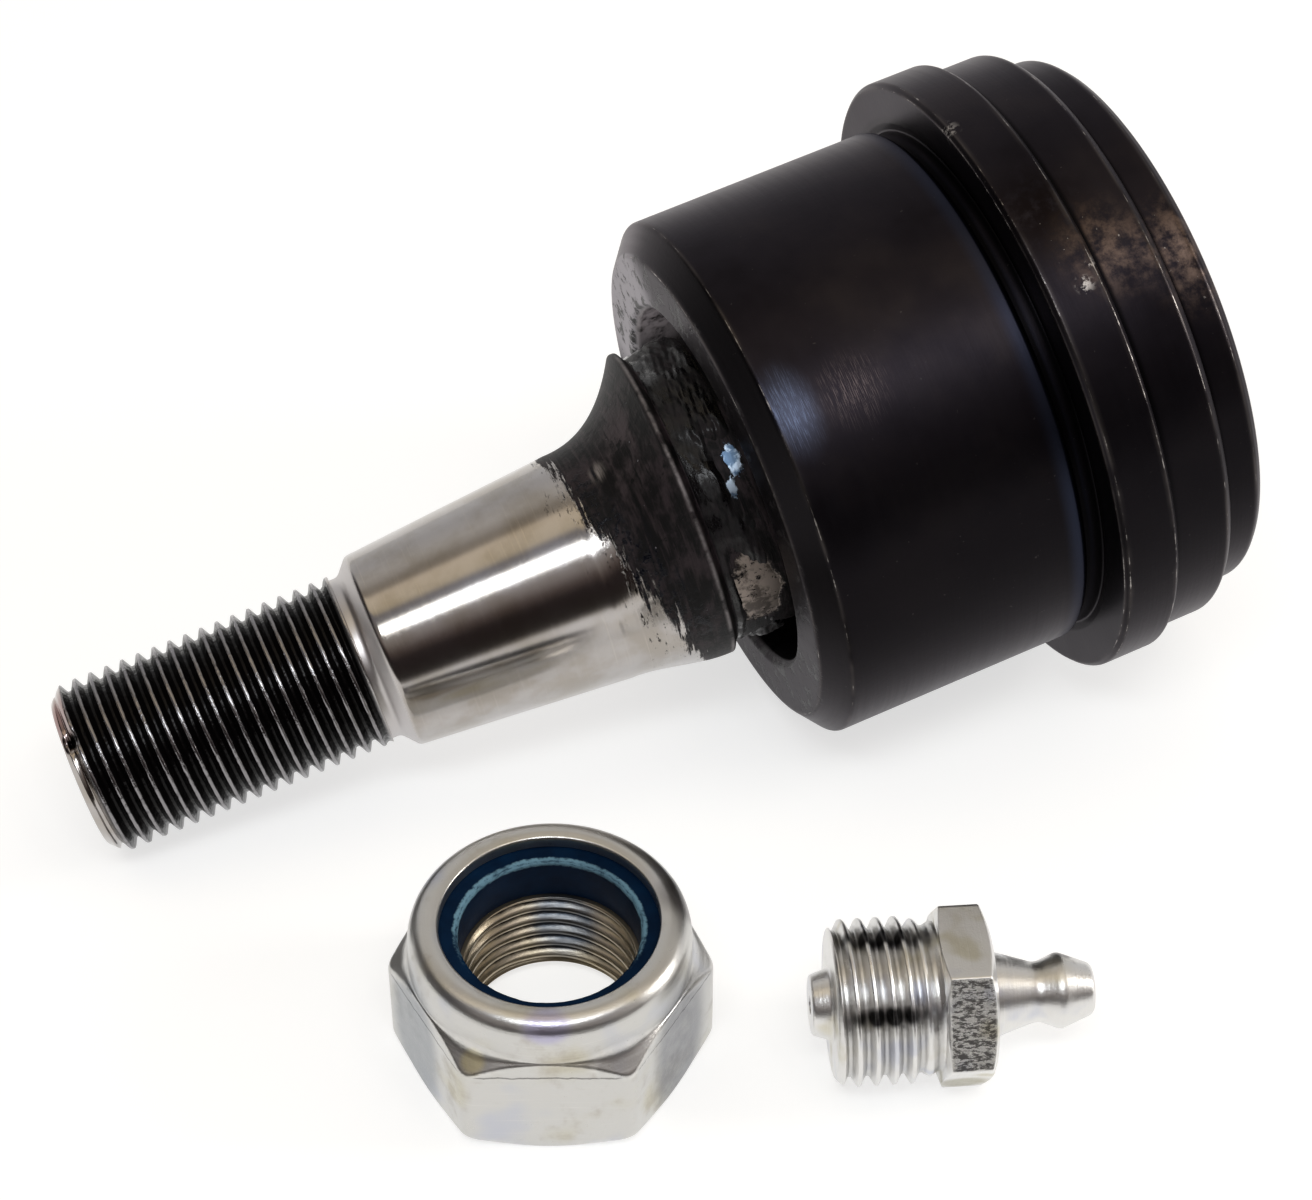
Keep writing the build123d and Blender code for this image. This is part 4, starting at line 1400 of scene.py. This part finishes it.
NUT_SHADE_AND_TINTS = (
    # painted shade on the left side face
    ((-11.2, -4.5, 2.6), 7.0, 0.5, "#8f9398", 0.85),
    # painted shade on the right side face
    ((10.8, -5.3, 2.6), 7.0, 0.5, "#7f8085", 0.85),
    # painted shade on the crown's right side
    ((11.2, 3.0, 13.6), 4.5, 1.0, "#6f6a69", 0.75),
    ((-6.0, -10.9, 9.9), 1.9, 1.0, "#efe6bd", 0.9),
    ((0.0, -11.2, 21.6), 3.4, 1.5, "#aaa5cc", 0.6),
    # painted shade deep in the far side of the bore
    ((1.0, 7.2, 3.9), 5.2, 0.6, "#4b5563", 0.8),
)
FITTING_DARK_REFLECTIONS_AND_PATCHES = (
    # painted dark reflections along the top of the thread, here and in the next line
    ((6.7, -1.2, -1.2), 1.7, 0.25, "#1b181c", 0.95),
    ((4.2, 5.3, -1.2), 1.5, 0.25, "#1b181c", 0.95),
    # darker grey patches on the top of the cone and the head
    ((2.35, -1.9, 6.8), 1.9, 1.0, "#4a4544", 0.85),
    ((2.3, -1.8, 10.6), 1.6, 1.0, "#4a4544", 0.80),
    # a darker yellowish patch low on the hexagon
    ((-4.6, 5.4, 1.8), 4.0, 1.0, "#9c967c", 0.85),
)
FACE_TURN = math.radians(60.0)
ROUGH_FACE = ((math.cos(FACE_TURN), math.sin(FACE_TURN), 0.0), FITTING_FLATS / 2.0)
nut.data.materials.append(
    zinc_plate("nut_zinc", "#c9c8c5", 7.0, 0.95, 1.0, NUT_SHADE_AND_TINTS, bore_tint=0.8, crease=9.1)
)
fitting.data.materials.append(
    zinc_plate(
        "fitting_zinc", "#dddcda", 4.0, 0.25, 1.5, FITTING_DARK_REFLECTIONS_AND_PATCHES, rough_face=ROUGH_FACE
    )
)
print("zinc ready")

# %% [markdown]
# ## Blue nylon
#
# Dyed nylon is a dark, slightly waxy blue. Where the punch and a thread have rubbed it, the inner
# edge has gone pale and fibrous.

# %% Nylon material
nylon = Finish("blue_nylon")
nylon.constant("Specular IOR Level", 0.03)
spot = nylon.lathe()
edge = nylon.mark("edge")
_, far_side, _ = spot.parts()
fibre = spot.stretch(1.0, 1.0, 3.0).noise(0.5, 5.0, 0.7)
rubbed_side = far_side.step(-7.0, 1.0) * (spot.noise(3.0, 2.0, 0.5, seed=2.0) + 0.45).clamped()
scuffed = (edge * (fibre + 0.25) * (0.55 + 0.55 * rubbed_side)).step(0.50, 0.82)
ring.data.materials.append(
    nylon.surface(
        nylon.layers(
            "#072440",
            ("#030d1f", spot.noise(2.0, 3.0, seed=1.0)),
            ("#6a8fa2", scuffed * rubbed_side),
        ),
        (0.34 + 0.2 * scuffed + 0.08 * fibre).clamped(),
        metallic=0.0,
        bump=fibre * (0.3 + scuffed),
        depth=0.04 * MM,
    )
)
print("nylon ready")

# %% [markdown]
# ## Pieces inside the joint
#
# The seat ring, the liner, the cup, the check ball and the cover keep their CAD shapes, and the two
# springs have meshes of their own. They are mostly hidden, but each has its own finish: sintered
# iron is porous and dull, the liner is a cream engineering polymer, the disc is dark and drawn,
# and the cover is oxide-black.


# %% Finishes of the CAD nodes
def simple_finish(name, base, second, size, roughness, spread, metallic, grain, depth):
    """A two-tone finish on the object's own place: noise of a size mixes the tones and moves the
    roughness, and finer noise makes the grain."""
    finish = Finish(name)
    place = finish.place()
    patch = place.noise(size, 3.0)
    grit = place.noise(grain, 3.0, 0.6, seed=3.0)
    return finish.surface(
        finish.layers(base, (second, patch.step(0.35, 0.7))),
        (roughness + spread * patch + 0.1 * grit).clamped(),
        metallic,
        grit,
        depth,
    )


SINTERED = ("#6b6763", "#4b4845", 1.5, 0.5, 0.2, 0.9, 0.25, 0.05 * MM)
CAD_FINISHES = {
    "cover": ("cover_black", "#171416", "#262224", 5.0, 0.30, 0.12, 0.75, 0.5, 0.02 * MM),
    "seat_ring": ("sintered_iron", *SINTERED),
    "pressure_cup": ("sintered_iron_cup", *SINTERED),
    "ball_liner": ("liner_polymer", "#cfc6ad", "#b9ae91", 3.0, 0.4, 0.1, 0.0, 0.4, 0.01 * MM),
    "check_ball": ("bearing_ball", "#c9c9ca", "#b4b4b6", 1.0, 0.08, 0.05, 1.0, 0.1, 0.002 * MM),
}
DISC_FINISH = ("spring_steel", "#3b3c40", "#55534f", 3.0, 0.3, 0.15, 0.9, 0.3, 0.02 * MM)
COIL_FINISH = ("spring_wire", "#8f8f90", "#a9a7a3", 0.6, 0.25, 0.1, 1.0, 0.1, 0.01 * MM)
disc.data.materials.append(simple_finish(*DISC_FINISH))
coil.data.materials.append(simple_finish(*COIL_FINISH))
for node, values in CAD_FINISHES.items():
    mesh = frame["nodes"][node].data
    mesh.materials.clear()
    mesh.materials.append(simple_finish(*values))
print(len(CAD_FINISHES), "CAD nodes dressed")

# %% [markdown]
# ## Picture settings and the end
#
# The standard view transform keeps a white floor white.

# %% Finish
bpy.context.scene.view_settings.view_transform = "Standard"
